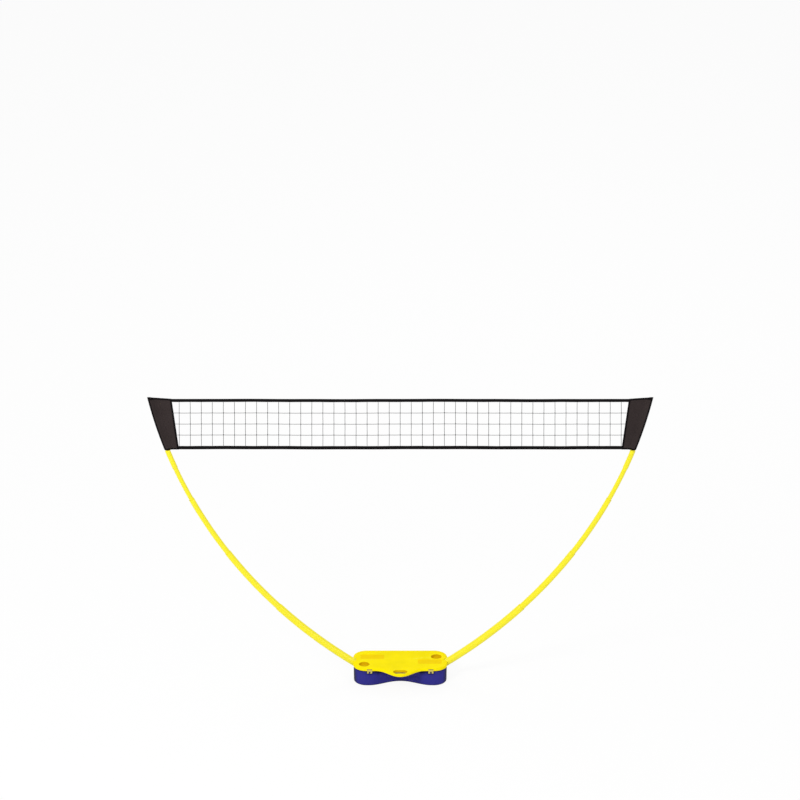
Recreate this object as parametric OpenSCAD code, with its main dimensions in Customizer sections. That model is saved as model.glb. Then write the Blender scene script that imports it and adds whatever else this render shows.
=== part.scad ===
// Portable volleyball net. The carry case is also the base: two bowed telescoping
// poles plug into sockets in its ends, and the net's sleeves slip over the pole tips.
// Millimetres. Origin: centre of the case's underside, in the plane of the poles.
// +X runs along the net, +Y towards the lid's hinges, +Z up.

/* [Tub] */
// Length of the case's tub
case_length = 556; // [530:1:600]
// Depth of the tub, front to back, at its full ends
case_depth = 244; // [236:1:260]
// Height of the tub
tub_height = 100; // [94:1:108]
// Radius of the tub's corners, seen from above
corner_r = 78; // [60:1:80]
// Wall thickness of the tub
tub_wall = 3.5; // [2.5:0.1:4]
// Floor thickness of the tub
tub_floor = 3.5; // [2.5:0.1:5]
// Radius of the tub's lower edge
bottom_r = 10; // [6:0.5:14]
// How far the walls lean out from floor to rim
draft = 1.5; // [0:0.1:2.5]
// How far the front wall draws in at the middle
waist_depth = 58; // [40:1:66]
// Distance of the drawn-in stretch from the ends of the tub
waist_from_end = 88; // [83:1:110]

/* [Lid] */
// Height of the lid's edge, from its rim up
lid_height = 16; // [15.5:0.1:20]
// Thickness of the lid's top
lid_top = 3.5; // [3:0.1:3.6]
// How far the lid stands out past the tub
lid_overhang = 3; // [2:0.1:3.5]
// Gap between the closed lid and the tub's rim
lid_gap = 0.4; // [0.3:0.05:0.8]
// How far the lip inside the lid reaches down into the tub
lip_depth = 5; // [3:0.1:6]
// Thickness of that lip
lip_wall = 2; // [1.5:0.1:2.5]
// Height of the bead round the lid's edge
bead_height = 9; // [7:0.1:9.5]
// How far the bead stands out from the lid's side
bead_step = 1.4; // [0.5:0.1:2]
// Radius of the lid's upper edge
edge_r = 6; // [4:0.1:6]
// Rise of the lid's crowned top above its edge
crown = 1.8; // [0.5:0.1:3]

/* [Carry handle] */
// How far the carry handle reaches out past the lid's front
handle_reach = 80; // [74:1:92]
// Half the length of the bulge that forms the handle
handle_half = 145; // [125:1:150]
// Width of the grip in front of the hand slot
grip_width = 16; // [15:1:24]
// Length of the hand slot
slot_length = 84; // [76:1:90]
// Width of the hand slot
slot_width = 42; // [36:1:46]
// Wall round the hollow handle and its slot
handle_wall = 3; // [2:0.1:4]

/* [Lid recesses] */
// Radius of the two round recesses
cup_r = 31; // [26:0.5:32]
// Depth of the round recesses
cup_depth = 16; // [10:0.5:16.5]
// Wall round the recesses
cup_wall = 2.5; // [2:0.1:2.5]
// From the lid's end to the centre of each round recess
cup_from_end = 66; // [64:1:72]
// From the lid's front to the centre of the left round recess
left_cup_from_front = 59; // [57:1:62]
// From the lid's rear to the centre of the right round recess
right_cup_from_rear = 89; // [87:1:90]
// Length of the two shallow panels
panel_length = 141; // [110:1:150]
// Width of the shallow panels
panel_width = 56; // [44:1:58]
// Depth of the shallow panels
panel_depth = 1.2; // [0.6:0.1:1.6]
// From the lid's end to the left panel
left_panel_from_end = 44; // [38:1:60]
// From the lid's end to the right panel
right_panel_from_end = 34; // [30:1:60]
// From the lid's rear or front edge to the panel next to it
panel_from_edge = 64; // [60:1:66]

/* [Hinges and latches] */
// Distance of each hinge from the end of the tub
hinge_from_end = 128; // [113:1:160]
// Radius of the hinge barrels
hinge_barrel_r = 4.5; // [4:0.1:4.8]
// Radius of the hinge pins
hinge_pin_r = 2; // [1.5:0.1:2.5]
// Width of the tub's hinge knuckle
hinge_knuckle = 28; // [20:1:36]
// Width of the lid's knuckle on each side of it
lid_knuckle = 14; // [10:1:20]
// Distance of each latch from the end of the tub
latch_from_end = 95; // [83:1:100]
// Width of the latches
latch_width = 30; // [26:1:34]
// Height of a latch below its pin
latch_drop = 21; // [20:1:24]
// Thickness of a latch's plate
latch_plate = 2.8; // [2:0.1:3]
// Radius of the latch pins
latch_pin_r = 1.5; // [1:0.1:1.8]
// Width of the slot in a latch
latch_slot = 10; // [9:0.5:12]
// Running gap between pins and bores
pin_gap = 0.05; // [0.03:0.01:0.09]
// Side gap between neighbouring moving parts
side_gap = 0.5; // [0.3:0.1:0.8]

/* [Poles] */
// Radius of the bow that the net's pull gives the poles
bow_radius = 2895; // [2820:5:3010]
// Slope of the poles where they leave the case
foot_slope = 33.75; // [32:0.25:36]
// Outer diameter of the thinnest telescoping section
tube_d = 28; // [25:0.5:29]
// Wall of the telescoping sections
tube_wall = 2.2; // [1.6:0.1:2.4]
// Sliding gap round each telescoping section
slide_gap = 0.4; // [0.3:0.05:0.6]
// Length of the foot section outside the case, along the bow
foot_length = 580; // [500:1:620]
// Length of the second section that shows
section_2_length = 471; // [420:1:520]
// Length of the third section that shows
section_3_length = 417; // [380:1:460]
// Length of the fourth section that shows below the ferrule
section_4_length = 225; // [180:1:260]
// Length of each section that stays inside the one below
overlap = 90; // [60:1:120]
// Depth of the poles in the case's sockets
spigot_depth = 100; // [70:1:104]
// Length of the ferrule that joins the tip rod
ferrule_length = 129; // [90:1:140]
// Wall of the ferrule
ferrule_wall = 1.9; // [1.5:0.1:2.5]
// Depth of the tip rod inside the fourth section
rod_depth = 80; // [60:1:88]
// Glue gap between pieces of a pole that don't move apart
glue_gap = 0.1; // [0.05:0.05:0.2]
// Wall of the cap on the tip rod
cap_wall = 1.2; // [0.8:0.1:1.6]
// Length of the cap on the tip rod
cap_length = 18; // [12:1:24]

/* [Sockets] */
// Gap round a pole in its socket
socket_gap = 0.3; // [0.2:0.05:0.5]
// Wall of the sockets
socket_wall = 3; // [2:0.1:3.2]
// Gap round a pole where it passes the lid
lid_notch_gap = 3; // [2:0.1:4]
// Height of the screw bosses on the tub's floor
boss_height = 6; // [4:0.5:7]
// Radius of the screw bosses
boss_r = 6; // [5:0.5:7]
// Distance of each screw from the plane of the poles
screw_y = 32; // [31:1:34]
// Radius of the screws' shanks
screw_r = 1.9; // [1.5:0.1:2.2]
// Radius of the screws' heads
screw_head_r = 4; // [3.5:0.1:4.5]
// Thickness of the sockets' foot plates
foot_plate = 3; // [2:0.1:4]

/* [Net] */
// Height of the net, over its tapes
net_height = 334; // [300:1:360]
// Height of the top tape
top_tape_height = 20; // [15:0.5:26]
// Height of the bottom tape
bottom_tape_height = 22; // [15:0.5:26]
// Thickness of the tapes
tape_thickness = 4; // [2.5:0.1:5]
// Thickness of the net's twine
twine = 2.5; // [1.5:0.1:3.5]
// Width of the net's meshes
mesh_width = 66; // [55:1:90]
// Height of the net's meshes
mesh_height = 73; // [60:1:95]

/* [Sleeves] */
// Width of the sleeves from the pole to the net, at the top
sleeve_top = 126; // [90:1:140]
// Width of the sleeves from the pole to the net, at the bottom
sleeve_bottom = 70; // [50:1:80]
// How much higher the sleeves' outer corners stand than the net
sleeve_peak = 9.5; // [8:0.5:14]
// Thickness of the sleeves' cloth panel
sleeve_thickness = 4; // [3:0.1:5]
// Wall of the pocket round the tip rod
pocket_wall = 1.2; // [0.8:0.1:2]
// Gap round the tip rod's cap in the pocket
pocket_gap = 0.5; // [0.4:0.1:0.8]
// Gap between the net's tapes and the sleeves
net_gap = 0.3; // [0.2:0.05:0.5]

/* [Hidden] */

BLUE = [0.16, 0.15, 0.55];
YELLOW = [0.98, 0.90, 0.05];
BLACK = [0.10, 0.09, 0.10];
GREY = [0.55, 0.56, 0.58];

$fn = 48;
bow_fn = 256; // a full turn of the bow is far larger than the arc that a pole takes
eps = 1;

// ---- the case's outlines ----

tub_l = case_length / 2;
waist_half = tub_l - waist_from_end;
hinge_x = tub_l - hinge_from_end;
latch_x = tub_l - latch_from_end;
tub_w = case_depth / 2;
lid_l = tub_l + lid_overhang;
lid_w = tub_w + lid_overhang;
lid_r = corner_r + lid_overhang;
lid_z = tub_height + lid_gap;
lid_ceiling = lid_z + lid_height - lid_top;
lid_face = lid_z + lid_height + crown;
front_steps = 44;
corner_step = 9;

// A smooth wave, 1 in the middle and 0 from the given half length on
function wave(x, half) = abs(x) < half ? pow(cos(90 * x / half), 2) : 0;

function corner(x, y, r, from, to) = [for (a = [from:corner_step:to]) [x + r * cos(a), y + r * sin(a)]];

// A rounded oblong whose front edge moves out by the bulge, or in where it is negative
function case_outline(l, w, r, bulge, half) = concat(
    [for (i = [0:front_steps])
        let (x = (l - r) * (2 * i / front_steps - 1))
        [x, -w - bulge * wave(x, half)]],
    corner(l - r, -w + r, r, -90 + corner_step, 0),
    corner(l - r, w - r, r, 0, 90),
    corner(-l + r, w - r, r, 90, 180),
    corner(-l + r, -w + r, r, 180, 270 - corner_step)
);

tub_outline = case_outline(tub_l, tub_w, corner_r, -waist_depth, waist_half);
lid_outline = case_outline(lid_l, lid_w, lid_r, handle_reach, handle_half);

// The outline moved inwards by a distance, along the normal at each point
function inset(outline, distance) = [
    for (i = [0:len(outline) - 1])
        let (
            n = len(outline),
            along = outline[(i + 1) % n] - outline[(i + n - 1) % n],
            inwards = [-along[1], along[0]] / norm(along)
        )
        outline[i] + distance * inwards
];

// A closed solid through a stack of outlines, each with its height, with fanned end caps
module loft(stack) {
    n = len(stack[0][0]);
    last = len(stack) - 1;
    points = concat(
        [for (level = stack) for (p = level[0]) [p[0], p[1], level[1]]],
        [[0, 0, stack[0][1]], [0, 0, stack[last][1]]]
    );
    sides = [for (k = [0:last - 1]) for (i = [0:n - 1])
        let (a = k * n + i, b = k * n + (i + 1) % n)
        each [[a, a + n, b + n], [a, b + n, b]]];
    caps = [for (i = [0:n - 1])
        let (j = (i + 1) % n)
        each [[i, j, n * (last + 1)], [last * n + j, last * n + i, n * (last + 1) + 1]]];
    polyhedron(points = points, faces = concat(sides, caps));
}

// Levels of a wall that starts with a rounded lower edge: [inset, height]
function rounded_foot(r) = [for (a = [0:22.5:90]) [r * (1 - sin(a)), r * (1 - cos(a))]];

// ---- the bow of the poles ----

bow_centre = [tub_l - bow_radius * sin(foot_slope), tub_height + bow_radius * cos(foot_slope)];

// Slope of a pole, and its place in the X-Z plane, at a length along the bow
function slope_at(s) = foot_slope + s / bow_radius * 180 / PI;
function bow(s) = bow_centre + bow_radius * [sin(slope_at(s)), -cos(slope_at(s))];
// Length along the bow at which a pole reaches a height
function length_at(z) = (acos((bow_centre[1] - z) / bow_radius) - foot_slope) * PI / 180 * bow_radius;

joint_1 = foot_length;
joint_2 = joint_1 + section_2_length;
joint_3 = joint_2 + section_3_length;
ferrule_foot = joint_3 + section_4_length;
ferrule_top = ferrule_foot + ferrule_length;
ferrule_lip = 6;
ferrule_clear = 0.5; // between the ferrules' highest edge and the net's lower edge

// Diameters, from the thinnest section out to the foot
step_d = 2 * (tube_wall + slide_gap);
section_3_d = tube_d + step_d;
section_2_d = section_3_d + step_d;
foot_d = section_2_d + step_d;
rod_d = tube_d - 2 * tube_wall - 2 * glue_gap;
ferrule_bore = tube_d + 2 * glue_gap;
ferrule_d = ferrule_bore + 2 * ferrule_wall;
cap_d = rod_d + 2 * (glue_gap + cap_wall);
pocket_bore = cap_d + 2 * pocket_gap;
pocket_d = pocket_bore + 2 * pocket_wall;

// Turns its children about the bow's centre plane so that +Z runs up the right pole
module along_bow(s) {
    translate([bow(s)[0], 0, bow(s)[1]])
        rotate([0, 90 - slope_at(s), 0])
            children();
}

// A stretch of bowed rod, or of tube where it has a bore
module bow_tube(outer_d, bore_d, from, to) {
    translate([bow_centre[0], 0, bow_centre[1]])
        rotate([90, 0, 0])
            rotate(slope_at(from) - 90)
                rotate_extrude(angle = slope_at(to) - slope_at(from), $fn = bow_fn)
                    translate([bow_radius, 0])
                        difference() {
                            circle(d = outer_d);
                            if (bore_d > 0) circle(d = bore_d);
                        }
}

// ---- places on the case ----

lid_hinge_y = lid_w + 1 + hinge_barrel_r;
lid_hinge_z = lid_z;
latch_pin_y = -lid_w + 4.5;
latch_pin_z = lid_z + 5;
latch_barrel_r = latch_pin_r + 2.2;
latch_notch_y = latch_pin_y + latch_barrel_r + 3;
latch_notch_z = lid_z + 12.2;
latch_boss = 8;
keeper_height = 9;
tub_front_at_latch = -tub_w + waist_depth * wave(latch_x - latch_width / 2, waist_half);
handle_tip_y = -lid_w - handle_reach;
slot_y = handle_tip_y + grip_width + slot_width / 2;
bore_r = foot_d / 2 + socket_gap;
socket_r = bore_r + socket_wall;
plate_z = tub_floor + boss_height;
screw_x = tub_l - 72;
cup_centres = [
    [-lid_l + cup_from_end, -lid_w + left_cup_from_front],
    [lid_l - cup_from_end, lid_w - right_cup_from_rear]
];
panel_centres = [
    [-lid_l + left_panel_from_end + panel_length / 2, lid_w - panel_from_edge - panel_width / 2],
    [lid_l - right_panel_from_end - panel_length / 2, -lid_w + panel_from_edge + panel_width / 2]
];

// ---- places on the net ----

net_bottom = bow(ferrule_top)[1] + ferrule_d / 2 * cos(slope_at(ferrule_top)) + ferrule_clear;
net_top = net_bottom + net_height;
rod_end = length_at(net_top - 6);
pocket_end = rod_end + 7;
tape_low = net_bottom + bottom_tape_height;
tape_high = net_top - top_tape_height;
sleeve_in_bottom = bow(length_at(net_bottom))[0] - sleeve_bottom;
sleeve_in_top = bow(length_at(net_top))[0] - sleeve_top;
net_half = sleeve_in_bottom - net_gap - twine;
columns = 2 * round(net_half / mesh_width);
rows = round((tape_high - tape_low) / mesh_height);

// Inner edge of the sleeves at a height
function sleeve_edge(z) = sleeve_in_bottom
    + (sleeve_in_top - sleeve_in_bottom) * (z - net_bottom) / net_height;

module both_sides() {
    children();
    mirror([1, 0, 0]) children();
}

// ---- the case ----

// A channel along the right pole, open towards its upper or lower side
module pole_channel(r, open_up, from, length) {
    along_bow(0)
        translate([0, 0, from])
            linear_extrude(length)
                union() {
                    circle(r);
                    translate([open_up ? -2 * tub_height : 0, -r])
                        square([2 * tub_height, 2 * r]);
                }
}

module tub_knuckle() {
    difference() {
        union() {
            rotate([0, 90, 0])
                cylinder(r = hinge_barrel_r, h = hinge_knuckle, center = true);
            rotate([90, 0, 90])
                linear_extrude(hinge_knuckle, center = true)
                    polygon([
                        [-hinge_barrel_r - lid_overhang - 2, -1],
                        [0, -1],
                        [0, -hinge_barrel_r],
                        [-hinge_barrel_r - lid_overhang - 2, -hinge_barrel_r - 8]
                    ]);
        }
        rotate([0, 90, 0])
            cylinder(r = hinge_pin_r + pin_gap, h = hinge_knuckle + 2 * eps, center = true);
    }
}

// The block that a latch's fork straddles, with a sloped top
module keeper() {
    keeper_z = latch_pin_z - latch_drop + 1;
    keeper_y = latch_pin_y - latch_plate - 3.2;
    translate([latch_x, 0, 0])
        rotate([90, 0, 90])
            linear_extrude(latch_slot - 2.5, center = true)
                polygon([
                    [tub_front_at_latch + tub_wall / 2 + draft, keeper_z],
                    [keeper_y, keeper_z],
                    [keeper_y, keeper_z + keeper_height / 2],
                    [tub_front_at_latch + tub_wall / 2 + draft, keeper_z + keeper_height]
                ]);
}

module base_tub() {
    inner_r = bottom_r - tub_wall;
    outer = concat(
        [for (step = rounded_foot(bottom_r)) [inset(tub_outline, step[0] + draft), step[1]]],
        [[tub_outline, tub_height]]
    );
    hollow = concat(
        [for (step = rounded_foot(inner_r))
            [inset(tub_outline, step[0] + draft + tub_wall), step[1] + tub_floor]],
        [[inset(tub_outline, tub_wall), tub_height + eps]]
    );
    color(BLUE)
        union() {
            difference() {
                loft(outer);
                loft(hollow);
                both_sides() pole_channel(bore_r, true, -28, 70);
            }
            both_sides() keeper();
            both_sides()
                translate([hinge_x, lid_hinge_y, lid_hinge_z]) tub_knuckle();
            both_sides() screw_bosses();
        }
}

module screw_bosses() {
    for (y = [-screw_y, screw_y])
        translate([screw_x, y, tub_floor - eps])
            difference() {
                cylinder(r = boss_r, h = boss_height + eps);
                translate([0, 0, eps + 1])
                    cylinder(r = screw_r, h = boss_height);
            }
}

// The tube that holds a pole's foot, on its own plate, trimmed to the tub's wall and rim
module pole_socket() {
    depth = spigot_depth + socket_gap;
    mouth_x = tub_l - tub_wall - draft;
    difference() {
        intersection() {
            union() {
                bow_tube(2 * socket_r, 0, -depth - socket_wall, socket_r);
                translate([screw_x - 24, -2, plate_z])
                    cube([60, 4, 40]);
                translate([screw_x - 30, -screw_y - boss_r, plate_z])
                    cube([66, 2 * (screw_y + boss_r), foot_plate]);
            }
            translate([0, -tub_w, plate_z])
                cube([mouth_x, 2 * tub_w, tub_height - lip_depth - 1 - plate_z]);
        }
        bow_tube(2 * bore_r, 0, -depth, 2 * socket_r);
        for (y = [-screw_y, screw_y])
            translate([screw_x, y, plate_z - eps])
                cylinder(r = screw_r + 0.4, h = foot_plate + 2 * eps);
    }
}

module left_socket() {
    color(GREY) mirror([1, 0, 0]) pole_socket();
}

module right_socket() {
    color(GREY) pole_socket();
}

module socket_screws() {
    color(GREY)
        both_sides()
            for (y = [-screw_y, screw_y])
                translate([screw_x, y, plate_z + foot_plate]) {
                    cylinder(r = screw_head_r, h = 2.4);
                    translate([0, 0, -foot_plate - boss_height + 2])
                        cylinder(r = screw_r - glue_gap, h = foot_plate + boss_height - 2);
                }
}

module hinge_pin() {
    length = hinge_knuckle + 2 * (lid_knuckle + side_gap);
    translate([hinge_x, lid_hinge_y, lid_hinge_z])
        rotate([0, 90, 0])
            cylinder(r = hinge_pin_r, h = length, center = true);
}

module left_hinge_pin() {
    color(GREY) mirror([1, 0, 0]) hinge_pin();
}

module right_hinge_pin() {
    color(GREY) hinge_pin();
}

// ---- the lid ----

module lid_knuckles() {
    reach = lid_hinge_y - lid_w + 3;
    for (side = [-1, 1])
        translate([side * (hinge_knuckle + lid_knuckle + 2 * side_gap) / 2, 0, 0])
            difference() {
                union() {
                    rotate([0, 90, 0])
                        cylinder(r = hinge_barrel_r, h = lid_knuckle, center = true);
                    translate([-lid_knuckle / 2, -reach, lid_z - lid_hinge_z + 1.2])
                        cube([lid_knuckle, reach, hinge_barrel_r - 1.2]);
                }
                rotate([0, 90, 0])
                    cylinder(r = hinge_pin_r + pin_gap, h = lid_knuckle + 2 * eps, center = true);
            }
}

module slot_shape(grow) {
    r = slot_width / 2 + grow;
    straight = slot_length - slot_width;
    translate([0, slot_y]) {
        square([straight, 2 * r], center = true);
        translate([-straight / 2, 0]) circle(r);
        translate([straight / 2, 0]) circle(r);
    }
}

module rounded_oblong(length, width, r) {
    square([length, width - 2 * r], center = true);
    square([length - 2 * r, width], center = true);
    for (x = [-1, 1], y = [-1, 1])
        translate([x * (length / 2 - r), y * (width / 2 - r)])
            circle(r);
}

module lid_body() {
    body = concat(
        [
            [bead_step, 0],
            [0, bead_step],
            [0, bead_height - bead_step],
            [bead_step, bead_height]
        ],
        [for (a = [0:22.5:90])
            [bead_step + edge_r * (1 - cos(a)), lid_height - edge_r * (1 - sin(a))]],
        [[cup_from_end - cup_r - 15, lid_height + crown]]
    );
    loft([for (level = body) [inset(lid_outline, level[0]), lid_z + level[1]]]);
}

// The hollow under the handle, round the hand slot's own wall
module handle_hollow() {
    translate([0, 0, lid_z - eps])
        linear_extrude(lid_height - lid_top + eps)
            difference() {
                intersection() {
                    polygon(inset(lid_outline, handle_wall));
                    translate([0, -lid_w - handle_reach])
                        square([1.5 * handle_half, 3 * handle_reach], center = true);
                }
                polygon(inset(tub_outline, -handle_wall));
                slot_shape(handle_wall);
            }
}

module latch_block() {
    width = latch_width + 2 * (side_gap + latch_boss);
    translate([latch_x - width / 2, latch_pin_y, lid_z])
        cube([width, latch_notch_y - latch_pin_y + 3, lid_ceiling - lid_z + eps]);
}

module latch_notch() {
    width = latch_width + 2 * side_gap;
    translate([latch_x - width / 2, -lid_w - eps, lid_z - eps])
        cube([width, latch_notch_y + lid_w + eps, latch_notch_z - lid_z + eps]);
    translate([latch_x, latch_pin_y, latch_pin_z])
        rotate([0, 90, 0])
            cylinder(r = latch_pin_r + pin_gap, h = width + 2 * latch_boss + eps, center = true);
}

module lid() {
    lip_out = tub_wall + 0.5;
    color(YELLOW)
        union() {
            difference() {
                union() {
                    difference() {
                        lid_body();
                        translate([0, 0, lid_z - eps])
                            linear_extrude(lid_ceiling - lid_z + eps)
                                polygon(inset(tub_outline, lip_out + lip_wall));
                        handle_hollow();
                    }
                    translate([0, 0, lid_z - lip_depth])
                        linear_extrude(lip_depth + eps)
                            difference() {
                                polygon(inset(tub_outline, lip_out));
                                polygon(inset(tub_outline, lip_out + lip_wall));
                            }
                    both_sides() latch_block();
                    for (c = cup_centres)
                        translate([c[0], c[1], lid_face - cup_depth - cup_wall])
                            cylinder(r = cup_r + cup_wall, h = cup_depth);
                }
                for (c = cup_centres)
                    translate([c[0], c[1], lid_face - cup_depth])
                        cylinder(r = cup_r, h = cup_depth + eps);
                for (c = panel_centres)
                    translate([c[0], c[1], lid_face - panel_depth])
                        linear_extrude(panel_depth + eps)
                            rounded_oblong(panel_length, panel_width, 10);
                translate([0, 0, lid_z - eps])
                    linear_extrude(lid_height + crown + 2 * eps)
                        slot_shape(0);
                both_sides() latch_notch();
                both_sides() pole_channel(foot_d / 2 + lid_notch_gap, false, -28, 70);
            }
            both_sides()
                translate([hinge_x, lid_hinge_y, lid_hinge_z]) lid_knuckles();
        }
}

module latch_pin() {
    translate([latch_x, latch_pin_y, latch_pin_z])
        rotate([0, 90, 0])
            cylinder(r = latch_pin_r, h = latch_width + 2 * (side_gap + latch_boss), center = true);
}

module left_latch_pin() {
    color(GREY) mirror([1, 0, 0]) latch_pin();
}

module right_latch_pin() {
    color(GREY) latch_pin();
}

// A forked clip: a barrel on the pin and a plate that hangs over the tub's front
module latch() {
    back = -3.2;
    front = back - latch_plate;
    translate([latch_x, latch_pin_y, latch_pin_z])
        difference() {
            rotate([90, 0, 90])
                linear_extrude(latch_width, center = true)
                    union() {
                        circle(latch_barrel_r);
                        polygon([
                            [0, latch_barrel_r],
                            [back, latch_barrel_r - 0.6],
                            [front, -2],
                            [front, 1 - latch_drop],
                            [front + 1, -latch_drop],
                            [back, -latch_drop],
                            [back, -latch_barrel_r - 1],
                            [0, -latch_barrel_r]
                        ]);
                    }
            rotate([0, 90, 0])
                cylinder(r = latch_pin_r + pin_gap, h = latch_width + 2 * eps, center = true);
            translate([-latch_slot / 2, front - eps, -latch_drop - eps])
                cube([latch_slot, latch_plate + 2 * eps, keeper_height + 4]);
        }
}

module left_latch() {
    color(YELLOW) mirror([1, 0, 0]) latch();
}

module right_latch() {
    color(YELLOW) latch();
}

// ---- the poles ----

module foot_section() {
    bow_tube(foot_d, section_2_d + 2 * slide_gap, -spigot_depth, joint_1);
}

module section_2() {
    bow_tube(section_2_d, section_3_d + 2 * slide_gap, joint_1 - overlap, joint_2);
}

module section_3() {
    bow_tube(section_3_d, tube_d + 2 * slide_gap, joint_2 - overlap, joint_3);
}

module section_4() {
    bow_tube(tube_d, rod_d + 2 * glue_gap, joint_3 - overlap, ferrule_top - ferrule_lip - glue_gap);
}

// A sleeve over the fourth section's end, closed in to the rod's size at its lip
module ferrule() {
    difference() {
        bow_tube(ferrule_d, 0, ferrule_foot, ferrule_top);
        bow_tube(ferrule_bore, 0, ferrule_foot - eps, ferrule_top - ferrule_lip);
        bow_tube(rod_d + 2 * glue_gap, 0, ferrule_foot - eps, ferrule_top + eps);
    }
}

module tip_rod() {
    bow_tube(rod_d, 0, ferrule_top - rod_depth, rod_end);
}

module tip_cap() {
    end = 3;
    along_bow(rod_end)
        difference() {
            translate([0, 0, end - cap_length])
                cylinder(d = cap_d, h = cap_length);
            translate([0, 0, -cap_length])
                cylinder(d = rod_d + 2 * glue_gap, h = cap_length + glue_gap);
        }
}

module left_foot_section() {
    color(YELLOW) mirror([1, 0, 0]) foot_section();
}

module right_foot_section() {
    color(YELLOW) foot_section();
}

module left_section_2() {
    color(YELLOW) mirror([1, 0, 0]) section_2();
}

module right_section_2() {
    color(YELLOW) section_2();
}

module left_section_3() {
    color(YELLOW) mirror([1, 0, 0]) section_3();
}

module right_section_3() {
    color(YELLOW) section_3();
}

module left_section_4() {
    color(YELLOW) mirror([1, 0, 0]) section_4();
}

module right_section_4() {
    color(YELLOW) section_4();
}

module left_ferrule() {
    color(YELLOW) mirror([1, 0, 0]) ferrule();
}

module right_ferrule() {
    color(YELLOW) ferrule();
}

module left_tip_rod() {
    color(GREY) mirror([1, 0, 0]) tip_rod();
}

module right_tip_rod() {
    color(GREY) tip_rod();
}

module left_tip_cap() {
    color(BLACK) mirror([1, 0, 0]) tip_cap();
}

module right_tip_cap() {
    color(BLACK) tip_cap();
}

// ---- the net ----

// Turns a drawing in the net's plane upright, centred on that plane
module in_net_plane(thickness) {
    rotate([90, 0, 0])
        linear_extrude(thickness, center = true)
            children();
}

// A sleeve: a flat panel towards the net and a round pocket over the tip rod
module net_sleeve() {
    arc_steps = 12;
    far = bow(pocket_end)[0] + pocket_d;
    rise = sleeve_peak / sleeve_top;
    difference() {
        intersection() {
            union() {
                in_net_plane(sleeve_thickness)
                    polygon(concat(
                        [[sleeve_in_top, 2 * net_top], [sleeve_in_top, net_top]],
                        [[sleeve_in_bottom, net_bottom]],
                        [for (i = [0:arc_steps])
                            bow(ferrule_top + (pocket_end - ferrule_top) * i / arc_steps)],
                        [[bow(pocket_end)[0], 2 * net_top]]
                    ));
                bow_tube(pocket_d, 0, ferrule_top - pocket_d, pocket_end + pocket_d);
            }
            in_net_plane(2 * pocket_d)
                polygon([
                    [sleeve_in_bottom - eps, net_bottom],
                    [far, net_bottom],
                    [far, net_top + rise * (far - sleeve_in_top)],
                    [sleeve_in_top - eps, net_top - rise * eps]
                ]);
        }
        bow_tube(pocket_bore, 0, ferrule_top - 2 * pocket_d, pocket_end);
    }
}

module left_net_sleeve() {
    color(BLACK) mirror([1, 0, 0]) net_sleeve();
}

module right_net_sleeve() {
    color(BLACK) net_sleeve();
}

// A stretch of the net between two heights, cut to the sleeves' slanted edges
module net_band(low, high) {
    polygon([
        [-sleeve_edge(low) + net_gap, low],
        [sleeve_edge(low) - net_gap, low],
        [sleeve_edge(high) - net_gap, high],
        [-sleeve_edge(high) + net_gap, high]
    ]);
}

module net_mesh() {
    pitch_x = 2 * net_half / columns;
    pitch_z = (tape_high - tape_low) / rows;
    color(GREY)
        in_net_plane(twine)
            union() {
                for (i = [0:columns])
                    translate([i * pitch_x - net_half - twine / 2, tape_low])
                        square([twine, tape_high - tape_low]);
                for (k = [1:rows - 1])
                    net_band(tape_low + k * pitch_z - twine / 2, tape_low + k * pitch_z + twine / 2);
            }
}

module top_tape() {
    color(BLACK) in_net_plane(tape_thickness) net_band(tape_high, net_top);
}

module bottom_tape() {
    color(BLACK) in_net_plane(tape_thickness) net_band(net_bottom, tape_low);
}

base_tub();
left_socket();
right_socket();
socket_screws();
left_hinge_pin();
right_hinge_pin();
left_foot_section();
right_foot_section();
lid();
left_latch_pin();
right_latch_pin();
left_latch();
right_latch();
left_section_2();
right_section_2();
left_section_3();
right_section_3();
left_section_4();
right_section_4();
left_ferrule();
right_ferrule();
left_tip_rod();
right_tip_rod();
left_tip_cap();
right_tip_cap();
left_net_sleeve();
right_net_sleeve();
net_mesh();
top_tape();
bottom_tape();
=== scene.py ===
"""Looks of a portable volleyball net: a plastic carry case as its base, bowed telescoping poles and a net in
cloth sleeves.

Everything is in metres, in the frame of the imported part: +X along the net, +Y towards the lid's hinges and
+Z up.

A part is (points, corners, counts, uvs): the points of a surface, the point number at each corner of its
faces, how many corners each face has, and one UV pair per corner, or None.
"""

import math

import bmesh
import bpy
import numpy as np
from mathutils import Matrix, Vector


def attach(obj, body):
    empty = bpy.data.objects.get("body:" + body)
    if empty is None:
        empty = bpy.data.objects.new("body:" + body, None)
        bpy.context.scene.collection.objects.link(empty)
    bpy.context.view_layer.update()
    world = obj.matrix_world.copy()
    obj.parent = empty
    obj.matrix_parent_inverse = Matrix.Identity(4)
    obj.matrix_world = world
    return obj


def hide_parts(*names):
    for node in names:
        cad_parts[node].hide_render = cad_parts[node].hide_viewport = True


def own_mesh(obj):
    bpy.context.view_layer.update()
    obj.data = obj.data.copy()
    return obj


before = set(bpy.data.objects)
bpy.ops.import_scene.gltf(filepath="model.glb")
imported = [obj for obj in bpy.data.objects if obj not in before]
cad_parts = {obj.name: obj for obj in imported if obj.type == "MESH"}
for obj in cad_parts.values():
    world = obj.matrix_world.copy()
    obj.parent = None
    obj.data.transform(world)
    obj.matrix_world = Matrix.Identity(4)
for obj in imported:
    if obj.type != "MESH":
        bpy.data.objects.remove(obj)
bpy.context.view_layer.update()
mm = 0.001
rng = np.random.default_rng(7)

# ---- the part's sizes, in metres ----

case_length, case_depth = 0.556, 0.244
tub_height, corner_r = 0.100, 0.078
tub_wall, tub_floor, draft = 0.0035, 0.0035, 0.0015
bottom_r = 0.010
waist_depth, waist_half = 0.058, 0.190

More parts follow.
